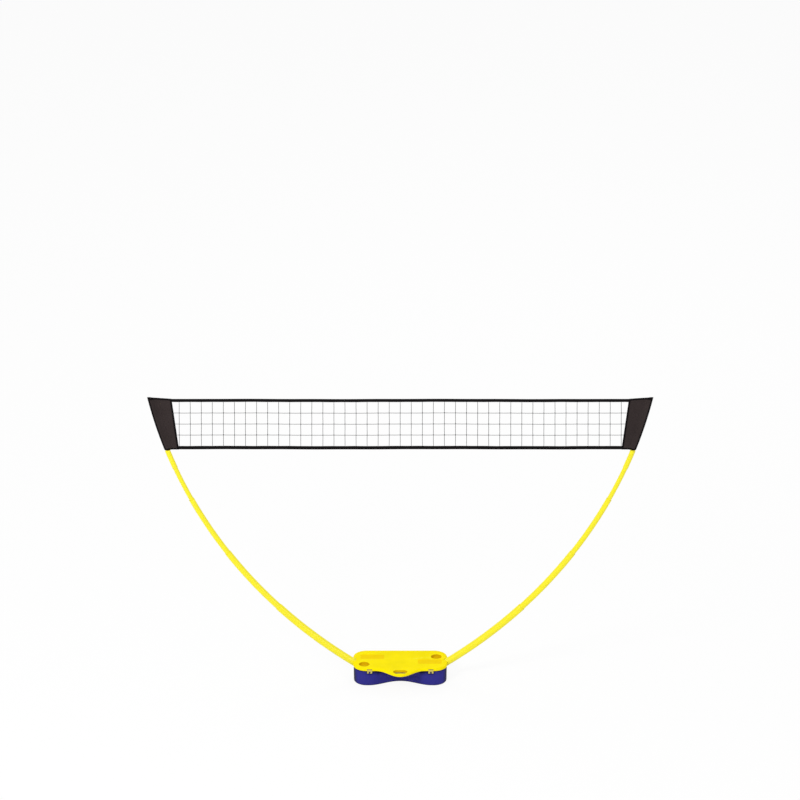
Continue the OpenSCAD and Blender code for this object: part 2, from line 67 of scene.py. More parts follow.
lid_height, lid_top = 0.016, 0.0035
lid_overhang, lid_gap = 0.003, 0.0004
lip_depth, lip_wall, lip_gap = 0.005, 0.002, 0.0005
bead_height, bead_step = 0.009, 0.0014
edge_r, crown = 0.006, 0.0018
handle_reach, handle_half, handle_wall = 0.080, 0.145, 0.003
grip_width, slot_length, slot_width = 0.016, 0.084, 0.042
cup_r, cup_depth, cup_wall = 0.031, 0.016, 0.0025
cup_from_end, left_cup_from_front, right_cup_from_rear = 0.066, 0.059, 0.089
panel_length, panel_width, panel_depth, panel_r = 0.141, 0.056, 0.0012, 0.010
left_panel_from_end, right_panel_from_end, panel_from_edge = 0.044, 0.034, 0.064

hinge_x, hinge_barrel_r, hinge_pin_r = 0.150, 0.0045, 0.002
hinge_knuckle, lid_knuckle = 0.028, 0.014
latch_x, latch_width, latch_drop = 0.183, 0.030, 0.021
latch_plate, latch_back, latch_slot = 0.0028, 0.0032, 0.010
latch_pin_r, latch_boss = 0.0015, 0.008
keeper_height, keeper_half = 0.009, 0.00375
side_gap, pin_gap = 0.0005, 0.00005
socket_gap, lip_notch_gap = 0.0003, 0.003
screw_y, boss_r, boss_height = 0.032, 0.006, 0.006

bow_radius, foot_slope = 2.895, math.radians(33.75)
tube_d, tube_wall, slide_gap, glue_gap = 0.028, 0.0022, 0.0004, 0.0001
foot_length, section_2_length, section_3_length, section_4_length = 0.580, 0.471, 0.417, 0.225
overlap, spigot_depth = 0.090, 0.100
ferrule_length, ferrule_wall, ferrule_lip = 0.129, 0.0019, 0.006
rod_depth, cap_wall, cap_length, cap_over = 0.080, 0.0012, 0.018, 0.003

net_height, top_tape_height, bottom_tape_height = 0.334, 0.020, 0.022
twine, mesh_width, rows, net_gap = 0.0025, 0.066, 4, 0.0003
sleeve_top, sleeve_bottom, sleeve_peak = 0.126, 0.070, 0.0095
pocket_wall, pocket_gap = 0.0012, 0.0005

# ---- sizes of the dressing alone ----

eps = 1 * mm  # how far a cutter goes past the face that it cuts
lid_notch_gap = 1.5 * mm  # the lid's notches round the poles, closer here than in the part
cloth_half = 0.4 * mm  # half the thickness of the sleeve's cloth
half_gap = 1.6 * mm  # from the sleeve's middle to the middle of each of its layers
binding_near, binding_far = cloth_half + 0.05 * mm, cloth_half + 0.75 * mm  # from the cloth's middle
binding_width = 10 * mm
thread_over = 0.78 * mm  # stitches on a binding, from the cloth's face
tape_sewn, tape_flat = 22 * mm, 12 * mm  # a tape's length inside a sleeve, and over how much it flattens
twine_r, sewn_r, layer_r = 0.56 * twine, 0.7 * mm, 1.1 * mm  # in the open, in a tape, in a sleeve
twine_offset = 0.55 * mm  # uprights behind the net's plane, cross twines in front of it
keep_low, keep_high = 0.912, 0.940  # how near the sleeves come, at foot and top, with the net lowest

# ---- places ----

tub_l, tub_w = case_length / 2, case_depth / 2
lid_l, lid_w, lid_r = tub_l + lid_overhang, tub_w + lid_overhang, corner_r + lid_overhang
lid_z = tub_height + lid_gap
lid_ceiling = lid_z + lid_height - lid_top
lid_face = lid_z + lid_height + crown
slot_y = -lid_w - handle_reach + grip_width + slot_width / 2
cup_centres = [
    (-lid_l + cup_from_end, -lid_w + left_cup_from_front),
    (lid_l - cup_from_end, lid_w - right_cup_from_rear)]
panel_centres = [
    (-lid_l + left_panel_from_end + panel_length / 2, lid_w - panel_from_edge - panel_width / 2),
    (lid_l - right_panel_from_end - panel_length / 2, -lid_w + panel_from_edge + panel_width / 2)]
hinge_y, hinge_z = lid_w + 1 * mm + hinge_barrel_r, lid_z
latch_y, latch_z = -lid_w + 4.5 * mm, lid_z + 5 * mm
latch_barrel_r = latch_pin_r + 2.2 * mm
latch_notch_y, latch_notch_z = latch_y + latch_barrel_r + 3 * mm, lid_z + 12.2 * mm
screw_x = tub_l - 0.072

joint_1 = foot_length
joint_2 = joint_1 + section_2_length
joint_3 = joint_2 + section_3_length
ferrule_foot = joint_3 + section_4_length
ferrule_top = ferrule_foot + ferrule_length
step_d = 2 * (tube_wall + slide_gap)
section_3_d, section_2_d, foot_d = tube_d + step_d, tube_d + 2 * step_d, tube_d + 3 * step_d
rod_d = tube_d - 2 * tube_wall - 2 * glue_gap
ferrule_d = tube_d + 2 * glue_gap + 2 * ferrule_wall
cap_d = rod_d + 2 * (glue_gap + cap_wall)
pocket_r = cap_d / 2 + pocket_gap + pocket_wall
bow_centre = (tub_l - bow_radius * math.sin(foot_slope), tub_height + bow_radius * math.cos(foot_slope))


def slope_at(s):
    """Slope of the right pole, in radians, at a length s along the bow: the foot's slope + s / radius."""
    return foot_slope + np.asarray(s, float) / bow_radius


def bow(s):
    """Place of the right pole's centreline in the X-Z plane at a length along the bow: centre + radius
    (sin, -cos)."""
    t = slope_at(s)
    return bow_centre[0] + bow_radius * np.sin(t), bow_centre[1] - bow_radius * np.cos(t)


def length_at(z):
    """Length along the bow at which it reaches a height: the arc cosine that undoes bow."""
    return (math.acos((bow_centre[1] - z) / bow_radius) - foot_slope) * bow_radius


net_bottom = float(bow(ferrule_top)[1] + ferrule_d / 2 * math.cos(slope_at(ferrule_top)) + 0.5 * mm)
net_top = net_bottom + net_height
tape_low, tape_high = net_bottom + bottom_tape_height, net_top - top_tape_height
rod_end = length_at(net_top - 6 * mm)
sleeve_in_bottom = float(bow(length_at(net_bottom))[0]) - sleeve_bottom
sleeve_in_top = float(bow(length_at(net_top))[0]) - sleeve_top
net_half = sleeve_in_bottom - net_gap - twine
columns = 2 * round(net_half / mesh_width)
pitch_x, pitch_z = 2 * net_half / columns, (tape_high - tape_low) / rows

# ---- lines ----


def arc(x, y, r, degrees, r2=None):
    """Points (x + r cos a, y + r2 sin a) at angles in degrees, of a circle unless r2 is given."""
    a = np.radians(degrees)
    return np.stack([x + r * np.cos(a), y + (r if r2 is None else r2) * np.sin(a)], -1)


def ring(r, x, y, sides):
    """A whole circle of points about (x, y)."""
    a = np.linspace(0, 2 * math.pi, sides, endpoint=False)
    return np.stack([x + r * np.cos(a), y + r * np.sin(a)], -1)


def between(a, b, shares):
    """Points at shares of the straight way from a to b."""
    a, b = np.array(a), np.array(b)
    return a + (b - a) * np.array(shares)[:, None]


def level(x, y):
    """Points at several x and one y."""
    return np.stack([x, np.full(len(x), y)], -1)


def chain(*pieces):
    """One line out of single points and runs of points."""
    return np.concatenate([np.atleast_2d(piece) for piece in pieces])


def lengths(path):
    """Length along a path, or along each of several, up to each of its points: sums of the steps' lengths."""
    steps = np.linalg.norm(np.diff(path, axis=-2), axis=-1)
    return np.concatenate([np.zeros((*steps.shape[:-1], 1)), np.cumsum(steps, -1)], -1)


def wave(x, half):
    """The case's front wave: cos squared of a quarter turn times x / half, and 0 beyond."""
    return np.where(np.abs(x) < half, np.cos(np.pi / 2 * np.clip(x / half, -1, 1)) ** 2, 0)


def ease(t):
    """Smooth step: 3 t^2 - 2 t^3, with t held between 0 and 1."""
    t = np.clip(t, 0, 1)
    return t * t * (3 - 2 * t)


# ---- parts and objects ----


def grid(P, wrap_rows=False, wrap_cols=False, caps=False, uv=None):
    """A part over points P[row, col]: quads between neighbours, wrapped round where asked, and flat caps on
    the first and last row. uv is the U of each column and the V of each row."""
    n, m = P.shape[:2]
    i, j = np.meshgrid(np.arange(n - (not wrap_rows)), np.arange(m - (not wrap_cols)), indexing="ij")
    here, over, after = i * m, (i + 1) % n * m, (j + 1) % m
    corners = np.stack([here + j, here + after, over + after, over + j], -1).ravel()
    counts = np.full(i.size, 4)
    uvs = None
    if uv is not None:
        u, v = uv
        u, v = u[np.stack([j, j + 1, j + 1, j], -1)], v[np.stack([i, i, i + 1, i + 1], -1)]
        uvs = np.stack([u, v], -1).reshape(-1, 2)
    part = P.reshape(-1, 3), corners, counts, uvs
    return with_faces(part, np.arange(m)[None, ::-1], np.arange(m)[None] + (n - 1) * m) if caps else part


def with_faces(part, *faces):
    """A part with more faces, from arrays of point numbers with a face in each row. Their UVs are 0."""
    points, corners, counts, uvs = part
    more = np.concatenate([face.ravel() for face in faces])
    counts = np.concatenate([counts, *[np.full(len(face), face.shape[1]) for face in faces]])
    if uvs is not None:
        uvs = np.concatenate([uvs, np.zeros((len(more), 2))])
    return points, np.concatenate([corners, more]), counts, uvs


def several(parts):
    """One part out of several, each one's point numbers moved past those before."""
    starts = np.cumsum([0] + [len(part[0]) for part in parts])
    points, corners, counts, uvs = zip(*parts)
    corners = [c + start for c, start in zip(corners, starts)]
    uvs = None if uvs[0] is None else np.concatenate(uvs)
    return np.concatenate(points), np.concatenate(corners), np.concatenate(counts), uvs


def mirrored(part):
    """A part's twin across X = 0: its X changes sign, and its corners run backwards to keep their faces'
    outer sides."""
    points, corners, counts, uvs = part
    return points * [-1, 1, 1], corners[::-1], counts[::-1], None if uvs is None else uvs[::-1]


def both(part):
    """A part and its twin."""
    return [part, mirrored(part)]


def smooth(obj, sharp=32):
    """Shades an object smooth except at edges sharper than an angle in degrees."""
    obj.data.shade_smooth()
    obj.data.set_sharp_from_angle(angle=math.radians(sharp))
    return obj


def mesh_object(name, part, sharp=32):
    """An object from a part."""
    points, corners, counts, uvs = part
    mesh = bpy.data.meshes.new(name)
    mesh.vertices.add(len(points))
    mesh.vertices.foreach_set("co", np.ascontiguousarray(points, np.float32).ravel())
    mesh.loops.add(len(corners))
    mesh.loops.foreach_set("vertex_index", np.ascontiguousarray(corners, np.int32))
    mesh.polygons.add(len(counts))
    mesh.polygons.foreach_set("loop_start", np.ascontiguousarray(np.cumsum(counts) - counts, np.int32))
    mesh.update(calc_edges=True)
    if uvs is not None:
        mesh.uv_layers.new(name="UVMap").data.foreach_set("uv", np.ascontiguousarray(uvs, np.float32).ravel())
    obj = bpy.data.objects.new(name, mesh)
    bpy.context.scene.collection.objects.link(obj)
    return smooth(obj, sharp)


def solid(part, name="tool"):
    """An object from a closed part, with its faces turned outwards."""
    obj = mesh_object(name, (*part[:3], None))
    shape = bmesh.new()
    shape.from_mesh(obj.data)
    bmesh.ops.recalc_face_normals(shape, faces=shape.faces)
    shape.to_mesh(obj.data)
    shape.free()
    return obj


def twin(obj):
    """A mirrored copy of an object."""
    mesh = obj.data
    points = np.empty(3 * len(mesh.vertices), np.float32)
    corners, counts = np.empty(len(mesh.loops), np.int32), np.empty(len(mesh.polygons), np.int32)
    mesh.vertices.foreach_get("co", points)
    mesh.loops.foreach_get("vertex_index", corners)
    mesh.polygons.foreach_get("loop_total", counts)
    return mesh_object("twin", mirrored((points.reshape(-1, 3), corners, counts, None)))


def applied(obj):
    """Turns an object's modifiers into its mesh."""
    made = bpy.data.meshes.new_from_object(obj.evaluated_get(bpy.context.evaluated_depsgraph_get()))
    obj.modifiers.clear()
    old, obj.data = obj.data, made
    bpy.data.meshes.remove(old)
    return obj


def carve(obj, tool, operation="DIFFERENCE"):
    """Cuts, adds or keeps what an object shares with a tool, which is a part or an object and is used up."""
    if isinstance(tool, tuple):
        tool = solid(tool)
    cut = obj.modifiers.new("cut", "BOOLEAN")
    cut.operation, cut.solver, cut.object = operation, "EXACT", tool
    applied(obj)
    bpy.data.objects.remove(tool)
    return obj


def bevel(obj, width, segments=3, angle=35):
    """Rounds an object's edges that are sharper than an angle in degrees."""
    rounding = obj.modifiers.new("bevel", "BEVEL")
    rounding.width, rounding.segments = width, segments
    rounding.limit_method, rounding.angle_limit = "ANGLE", math.radians(angle)
    return smooth(applied(obj))


def join(obj, *others):
    """Adds the others' meshes to an object."""
    every = [obj, *others]
    chosen = {"selected_editable_objects": every, "selected_objects": every}
    with bpy.context.temp_override(active_object=obj, **chosen):
        bpy.ops.object.join()
    return obj


def stack(lines):
    """A solid through closed plan outlines, each with its height."""
    P = np.array([np.column_stack([line, np.full(len(line), z)]) for line, z in lines])
    return grid(P, wrap_cols=True, caps=True)


def prism(line, low, high):
    """A straight solid on a plan outline between two heights."""
    return stack([(line, low), (line, high)])


def block(low, high):
    """A box between two corners."""
    (x0, y0, z0), (x1, y1, z1) = low, high
    return prism(chain((x0, y0), (x1, y0), (x1, y1), (x0, y1)), z0, z1)


def turned(profile, x, y, z, sides):
    """A solid turned about an upright axis at (x, y), from a profile of (radius, height above z)."""
    return stack([(ring(r, x, y, sides), z + height) for r, height in profile])


def across(line, x0, x1):
    """A straight solid on an outline in the Y-Z plane between two X."""
    P = np.array([np.column_stack([np.full(len(line), x), line]) for x in (x0, x1)])
    return grid(P, wrap_cols=True, caps=True)


def tubes(paths, radius, sides, caps=True):
    """Round tubes along paths[tube, ring], with one radius or one for each ring: path + radius (cos a side +
    sin a up).

    side and up are square to the path: side is that of the ring before, less its part along the path, made 1
    long. UV is round and along, in metres."""
    count, n = paths.shape[:2]
    ahead = np.gradient(paths, axis=1)
    ahead /= np.linalg.norm(ahead, axis=2, keepdims=True)
    side = np.cross(ahead[:, 0], np.where(np.abs(ahead[:, :1, 1]) < 0.9, [0.0, 1.0, 0.0], [1.0, 0.0, 0.0]))
    sides_of = np.empty_like(paths)
    for k in range(n):
        side = side - ahead[:, k] * np.sum(side * ahead[:, k], axis=1, keepdims=True)
        side /= np.linalg.norm(side, axis=1, keepdims=True)
        sides_of[:, k] = side
    up = np.cross(ahead, sides_of)
    r = np.broadcast_to(radius, (count, n))
    a = np.linspace(0, 2 * math.pi, sides, endpoint=False)[:, None]
    around = np.cos(a) * sides_of[:, :, None] + np.sin(a) * up[:, :, None]
    P = paths[:, :, None] + r[:, :, None, None] * around
    u, v = np.arange(sides + 1) / sides * 2 * math.pi * r.mean(axis=1)[:, None], lengths(paths)
    return several([grid(P[k], wrap_cols=True, caps=caps, uv=(u[k], v[k])) for k in range(count)])


# ---- materials ----


class Graph:
    """A node tree in the making. A value is a number, a colour, a vector or another node's output."""

    def __init__(self, tree):
        self.nodes, self.link = tree.nodes, tree.links.new

    def put(self, socket, value):
        """Sets a socket, or links an output to it. A colour gets its alpha of 1."""
        if isinstance(value, bpy.types.NodeSocket):
            self.link(value, socket)
        else:
            socket.default_value = (*value, 1) if socket.type == "RGBA" else value

    def add(self, kind, inputs=(), **settings):
        """A node with its settings and with values for its inputs, by name or number."""
        node = self.nodes.new("ShaderNode" + kind)
        for name, value in settings.items():
            setattr(node, name, value)
        for key, value in dict(inputs).items():
            self.put(node.inputs[key], value)
        return node

    def maths(self, operation, *values):
        """One sum."""
        return self.add("Math", enumerate(values), operation=operation).outputs[0]

    def times(self, a, b):
        """a times b."""
        return self.maths("MULTIPLY", a, b)

    def spread(self, value, low, high, out_low, out_high):
        """A value from low..high, held at both ends, brought to out_low..out_high in a straight line."""
        inputs = {"Value": value, "From Min": low, "From Max": high, "To Min": out_low, "To Max": out_high}
        return self.add("MapRange", inputs).outputs["Result"]

    def noise(self, where, scale, detail=3.0, rough=0.5, stretch=None):
        """Fractal noise at a scale per metre, on coordinates multiplied by stretch."""
        if stretch:
            where = self.add("Mapping", {"Scale": stretch, "Vector": where}).outputs["Vector"]
        inputs = {"Scale": scale, "Detail": detail, "Roughness": rough, "Vector": where}
        return self.add("TexNoise", inputs).outputs["Fac"]

    def mix(self, factor, a, b):
        """Colour a at a factor of 0, b at 1."""
        return self.add("Mix", {0: factor, 6: a, 7: b}, data_type="RGBA").outputs[2]


class Finish(Graph):
    """A Principled material in the making, on the piece's Object coordinates or its own UV."""

    def __init__(self, name, colour, rough, **sockets):
        self.material = bpy.data.materials.new(name)
        self.material.use_nodes = True
        super().__init__(self.material.node_tree)
        self.shader = self.nodes["Principled BSDF"]
        place = self.add("TexCoord")
        self.place, self.uv = place.outputs["Object"], place.outputs["UV"]
        self.set(Base_Color=colour, Roughness=rough, **sockets)

    def set(self, **sockets):
        """Sets or links the shader's sockets, whose names have _ for a space here."""
        for name, value in sockets.items():
            self.put(self.shader.inputs[name.replace("_", " ")], value)

    def bump(self, height, distance):
        """Raises the surface by a height times a distance."""
        inputs = {"Height": height, "Distance": distance, "Strength": 1.0}
        self.set(Normal=self.add("Bump", inputs).outputs["Normal"])


def tone(colour, factor, more=0.0):
    """A colour times a factor, plus a little, held at 1."""
    return tuple(min(1, c * factor + more) for c in colour)


def moulded(name, colour, worn_and_highlight_tone, rough=0.38, shine=0.25, deep=None):
    """Injection-moulded plastic: cloudy colour, high edges lighter as rubbed wear and as a painted highlight,
    faint scuffs and a spark-eroded grain.
    deep is the colour of a painted shade, which it darkens to where it turns from the camera and under an
    edge."""
    f = Finish(name, colour, rough, IOR=1.49, Specular_IOR_Level=shine)
    cloud = f.spread(f.noise(f.place, 9, 4), 0.35, 0.65, 0, 1)
    body = f.mix(cloud, tone(colour, 0.95), tone(colour, 1.03))
    # High edges take the lighter tone: rubbed wear, and a painted highlight along the rims
    edge = f.spread(f.add("NewGeometry").outputs["Pointiness"], 0.52, 0.60, 0, 1)
    body = f.mix(f.times(edge, f.spread(f.noise(f.place, 60, 3), 0.4, 0.7, 0, 0.7)), body, worn_and_highlight_tone)
    # Painted shade: the base colour darkens where the surface turns from the camera (Layer Weight's Facing)
    # and where an edge above hides the sky (occlusion about a normal tilted up)
    if deep:
        facing = f.add("LayerWeight", {"Blend": 0.3}).outputs["Facing"]
        tilted = f.add("VectorMath", {0: f.add("NewGeometry").outputs["Normal"], 1: (0, 0, 1)})
        tilted = f.add("VectorMath", {0: tilted.outputs[0]}, operation="NORMALIZE")
        shade = f.add("AmbientOcclusion", {"Distance": 0.04, "Normal": tilted.outputs[0]}).outputs["AO"]
        painted_shade_turned_away, under = f.spread(facing, 0.24, 0.5, 0, 0.92), f.spread(shade, 0.5, 0.8, 0.92, 0)
        body = f.mix(f.maths("MAXIMUM", painted_shade_turned_away, under), body, deep)
    scuff = f.noise(f.place, 26, 5, 0.65, (1, 3.5, 1))
    f.set(Base_Color=body, Roughness=f.spread(scuff, 0.35, 0.7, rough - 0.05, rough + 0.14))
    f.bump(f.maths("ADD", f.noise(f.place, 1500, 2), f.times(f.noise(f.place, 90, 2), 0.8)), 0.06 * mm)
    return f.material


def lacquered(name, colour, deep):
    """Lacquered fibreglass: long fibre streaks under a clear coat, with fine rub marks."""
    f = Finish(name, colour, 0.3, Coat_Weight=0.3, Coat_Roughness=0.12, IOR=1.5, Specular_IOR_Level=0.25)
    streak = f.spread(f.noise(f.uv, 1, 4, 0.6, (600, 9, 1)), 0.38, 0.66, 0, 1)
    cloud = f.spread(f.noise(f.uv, 1, 3, 0.5, (18, 9, 1)), 0.3, 0.7, 0, 1)
    body = f.mix(f.times(streak, 0.55), colour, deep)
    rub = f.noise(f.uv, 1, 4, 0.6, (70, 30, 1))
    f.set(Base_Color=f.mix(f.times(cloud, 0.3), body, tone(colour, 0.93)),
          Roughness=f.spread(rub, 0.4, 0.7, 0.26, 0.38))
    f.bump(streak, 0.01 * mm)
    return f.material


def woven(name, dark, light, pitch, rough=0.85, sheen=0.12, shine=0.15):
    """Plain-woven cloth: a chequer picks warp or weft, each thread a ridge |sin|, lighter on its crown and
    darker in the gaps as painted shade, with uneven yarn and a little fuzz."""
    f = Finish(name, dark, rough, Sheen_Weight=sheen, Sheen_Roughness=0.45, Specular_IOR_Level=shine)
    split = f.add("SeparateXYZ", {0: f.uv})
    turns = (f.times(split.outputs[k], math.pi / pitch) for k in (0, 1))
    weft, warp = (f.maths("ABSOLUTE", f.maths("SINE", turn)) for turn in turns)
    check = f.add("TexChecker", {"Scale": 1 / pitch, "Vector": f.uv}).outputs["Fac"]
    weave = f.maths("ADD", f.times(weft, check), f.times(warp, f.maths("SUBTRACT", 1.0, check)))
    yarn = f.noise(f.uv, 1, 3, 0.6, (420, 420, 1))
    # Painted shade: the light colour on the threads' crowns, the dark one in the gaps between them
    body = f.mix(f.times(weave, f.spread(yarn, 0.3, 0.7, 0.5, 1)), dark, light)
    faded = f.spread(f.noise(f.place, 7, 4), 0.35, 0.7, 0, 0.35)
    f.set(Base_Color=f.mix(faded, body, tone(light, 1.25, 0.004)),
          Roughness=f.spread(yarn, 0.3, 0.7, rough - 0.08, min(1, rough + 0.08)))
    f.bump(weave, 0.18 * mm)
    return f.material


def twisted(name, dark, light, lay, strands=3):
    """Twisted twine: its strands are slanting ridges, sin of strands x turn + way along / lay, lighter on the
    ridges and darker in the grooves as painted shade, with fuzz.
    """
    f = Finish(name, dark, 0.7, Sheen_Weight=0.15, Sheen_Roughness=0.5, Specular_IOR_Level=0.2)
    split = f.add("SeparateXYZ", {0: f.uv})
    turn, along = f.times(split.outputs[0], strands * 2 / twine), f.times(split.outputs[1], 2 * math.pi / lay)
    ridge = f.spread(f.maths("SINE", f.maths("ADD", turn, along)), -1, 1, 0, 1)
    fuzz = f.spread(f.noise(f.place, 700, 3), 0.3, 0.7, 0.6, 1)
    # Painted shade: dark in the grooves between the strands, light on their ridges
    f.set(Base_Color=f.mix(f.times(ridge, fuzz), dark, light))
    f.bump(ridge, 0.3 * mm)
    return f.material


def metal(name, colour, rough):
    """Zinc-plated steel: brushed, with cloudy tarnish."""
    f = Finish(name, colour, rough, Metallic=1.0)
    brushed = f.spread(f.noise(f.place, 300, 2, 0.5, (6, 1, 1)), 0.3, 0.7, rough - 0.1, rough + 0.15)
    f.set(Base_Color=f.mix(f.noise(f.place, 120, 4), colour, tone(colour, 0.7)), Roughness=brushed)
    return f.material


LID = moulded("lid_plastic", (0.95, 0.79, 0.002), (0.97, 0.86, 0.05), shine=0.01)
PANEL = moulded("panel_plastic", (0.92, 0.66, 0.002), (0.95, 0.76, 0.04), 0.45, shine=0.01)
# A darker copy of the lid's yellow for the recesses and the hand slot: painted shade
RECESS_PAINTED_SHADE = moulded("recess_painted_shade_plastic", (0.70, 0.46, 0.003), (0.85, 0.62, 0.03), 0.5, shine=0.01)
# The tub's last colour is its painted shade, at its turned-away edges and under the lid's edge
TUB = moulded("tub_plastic", (0.032, 0.030, 0.235), (0.10, 0.10, 0.36), 0.42, 0.05, (0.003, 0.003, 0.014))
SOCKET = moulded("socket_plastic", (0.035, 0.035, 0.042), (0.12, 0.12, 0.13), 0.5)
LATCH = moulded("latch_plastic", (0.54, 0.45, 0.10), (0.70, 0.62, 0.25), 0.45)
POLE = lacquered("pole_lacquer", (0.93, 0.84, 0.012), (0.80, 0.66, 0.004))
ROD = lacquered("rod_lacquer", (0.88, 0.80, 0.05), (0.72, 0.62, 0.02))
RUBBER = moulded("cap_rubber", (0.012, 0.012, 0.012), (0.05, 0.05, 0.05), 0.7)
STEEL = metal("zinc_steel", (0.62, 0.62, 0.64), 0.32)
SLEEVE = woven("sleeve_cloth", (0.016, 0.010, 0.010), (0.034, 0.024, 0.023), 0.9 * mm)
BINDING = woven(
    "binding_cloth", (0.002, 0.0012, 0.0016), (0.006, 0.0045, 0.005), 0.7 * mm, sheen=0.03, shine=0.06)
TAPE = woven("tape_cloth", (0.002, 0.0014, 0.0018), (0.006, 0.005, 0.0055), 0.8 * mm, sheen=0.03, shine=0.06)
THREAD = woven(
    "stitch_thread", (0.010, 0.008, 0.009), (0.024, 0.021, 0.022), 0.3 * mm, 0.6, sheen=0.03, shine=0.1)
TWINE = twisted("net_twine", (0.006, 0.006, 0.006), (0.024, 0.024, 0.024), 7 * mm)


def finish_piece(obj, mat, body, slot, *nodes):
    """Gives a piece its material, its body and the CAD nodes that it stands for."""
    obj.data.materials.clear()
    obj.data.materials.append(mat)
    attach(obj, body)
    if nodes:
        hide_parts(*nodes)
    return obj


# ---- the case's outlines ----


def case_outline(half_length, half_width, r, bulge, half):
    """A rounded oblong whose straight front edge moves out by the bulge times the wave."""
    x, y = half_length - r, half_width - r
    front = x * np.linspace(-1, 1, 133)
    quarter = np.linspace(0, 90, 21)
    return chain(
        np.stack([front, -half_width - bulge * wave(front, half)], -1),
        arc(x, -y, r, quarter[1:] - 90), arc(x, y, r, quarter),
        level(np.linspace(x, -x, 12)[1:-1], half_width),
        arc(-x, y, r, quarter + 90), arc(-x, -y, r, quarter[:-1] + 180))


def inwards(line):
    """Unit directions into a closed plan outline: square to the line between each point's neighbours."""
    along = np.roll(line, -1, 0) - np.roll(line, 1, 0)
    return np.stack([-along[:, 1], along[:, 0]], -1) / np.linalg.norm(along, axis=1)[:, None]


def inset(line, distance):
    """A closed plan outline moved inwards by a distance."""
    return line + distance * inwards(line)


tub_line = case_outline(tub_l, tub_w, corner_r, -waist_depth, waist_half)
lid_line = case_outline(lid_l, lid_w, lid_r, handle_reach, handle_half)


def loft(line, levels):
    """A solid through one outline at (distance inwards, height) levels, closed by fans from the middle."""
    P = np.concatenate([
        line + levels[:, None, :1] * inwards(line),
        np.broadcast_to(levels[:, None, 1:], (len(levels), len(line), 1))], -1)
    points, *faces = grid(P, wrap_cols=True)
    n, m = P.shape[:2]
    j, after = np.arange(m), (np.arange(m) + 1) % m
    points = np.concatenate([points, [[0, 0, levels[0, 1]], [0, 0, levels[-1, 1]]]])
    low = np.stack([after, j, np.full(m, n * m)], -1)
    high = np.stack([j + (n - 1) * m, after + (n - 1) * m, np.full(m, n * m + 1)], -1)
    return with_faces((points, *faces), low, high)


def channel(r, upwards):
    """A notch for the right pole's foot: half round about the bow's tangent at the case's rim, and open up or
    down."""
    sign = 1 if upwards else -1
    rim = np.array([bow(0.0)[0], 0, bow(0.0)[1]])
    along = np.array([math.cos(foot_slope), 0, math.sin(foot_slope)])
    aside, up = np.array([0, 1, 0]), sign * np.array([-math.sin(foot_slope), 0, math.cos(foot_slope)])
    section = chain(arc(0, 0, r, np.linspace(180, 360, 28)), (r, 0.2), (-r, 0.2))
    ends = np.array([-0.028, 0.050])[:, None, None]  # along the pole, inwards and outwards from the rim
    return grid(rim + ends * along + section[:, :1] * aside + section[:, 1:] * up, wrap_cols=True, caps=True)


def knuckle(middle, width, profile):
    """A hinge knuckle: a profile in the Y-Z plane carried across a width, with the pin's bore cut."""
    bore = ring(hinge_pin_r + pin_gap, hinge_y, hinge_z, 32)
    obj = solid(across(profile, middle - width / 2, middle + width / 2))
    return carve(obj, across(bore, hinge_x - 0.05, hinge_x + 0.05))


# ---- the tub ----


def tub_levels():
    """(inwards, height) up the tub's drafted outside from its rounded bottom, over its rolled rim and down
    its inside."""
    rim, inner_r = 0.9 * mm, bottom_r - tub_wall
    top, inner_foot = tub_height - rim, tub_floor + inner_r
    return chain(
        arc(bottom_r + draft, bottom_r, bottom_r, np.linspace(270, 180, 11)),
        between((draft, bottom_r), (0, top), (0.35, 0.7, 1.0)),
        arc(rim, top, rim, (150, 120, 90)), arc(tub_wall - rim, top, rim, (90, 60, 30, 0)),
        between((tub_wall, top), (tub_wall + draft, inner_foot), (0.3, 0.65)),
        arc(inner_r + draft + tub_wall, inner_foot, inner_r, np.linspace(180, 270, 9)))


def make_keeper():
    """The nub that a latch's fork straddles: a wedge on the tub's front, rounded on its edges."""
    front = -tub_w + waist_depth * float(wave(latch_x - latch_width / 2, waist_half)) + tub_wall / 2 + draft
    foot, tip = latch_z - latch_drop + 1 * mm, latch_y - latch_plate - latch_back
    profile = chain(
        (front, foot), (tip, foot), (tip, foot + keeper_height / 2), (front, foot + keeper_height))
    return bevel(solid(across(profile, latch_x - keeper_half, latch_x + keeper_half)), 0.7 * mm)


def tub_knuckle():
    """The middle knuckle of a hinge: a barrel on a sloping bracket behind the tub's wall."""
    y, z, r = hinge_y, hinge_z, hinge_barrel_r
    wall = y - r - lid_overhang - 2 * mm
    barrel = arc(y, z, r, np.linspace(-90, 104, 26)[1:])
    profile = chain((wall, z - r - 8 * mm), (y, z - r), barrel, (y - r, z - 1 * mm), (wall, z - 1 * mm))
    return knuckle(hinge_x, hinge_knuckle, profile)


def screw_boss(y):
    """A boss for a socket's screw, turned, with a flared foot and an eased edge."""
    profile = [(boss_r + 1.5 * mm, 0), (boss_r + 0.4 * mm, 0.8 * mm), (boss_r, 2.2 * mm),
               (boss_r, boss_height - 0.5 * mm), (boss_r - 0.5 * mm, boss_height)]
    return solid(turned(profile, screw_x, y, tub_floor, 32))


def make_tub():
    """The tub: its lofted wall, notched for the poles, with keepers, knuckles and bosses on both sides."""
    obj = solid(loft(tub_line, tub_levels()), "tub_shell")
    carve(obj, several(both(channel(foot_d / 2 + socket_gap, True))))
    extras = [make_keeper(), tub_knuckle(), screw_boss(-screw_y), screw_boss(screw_y)]
    return smooth(join(obj, *extras, *map(twin, extras)), 28)


# ---- the lid ----


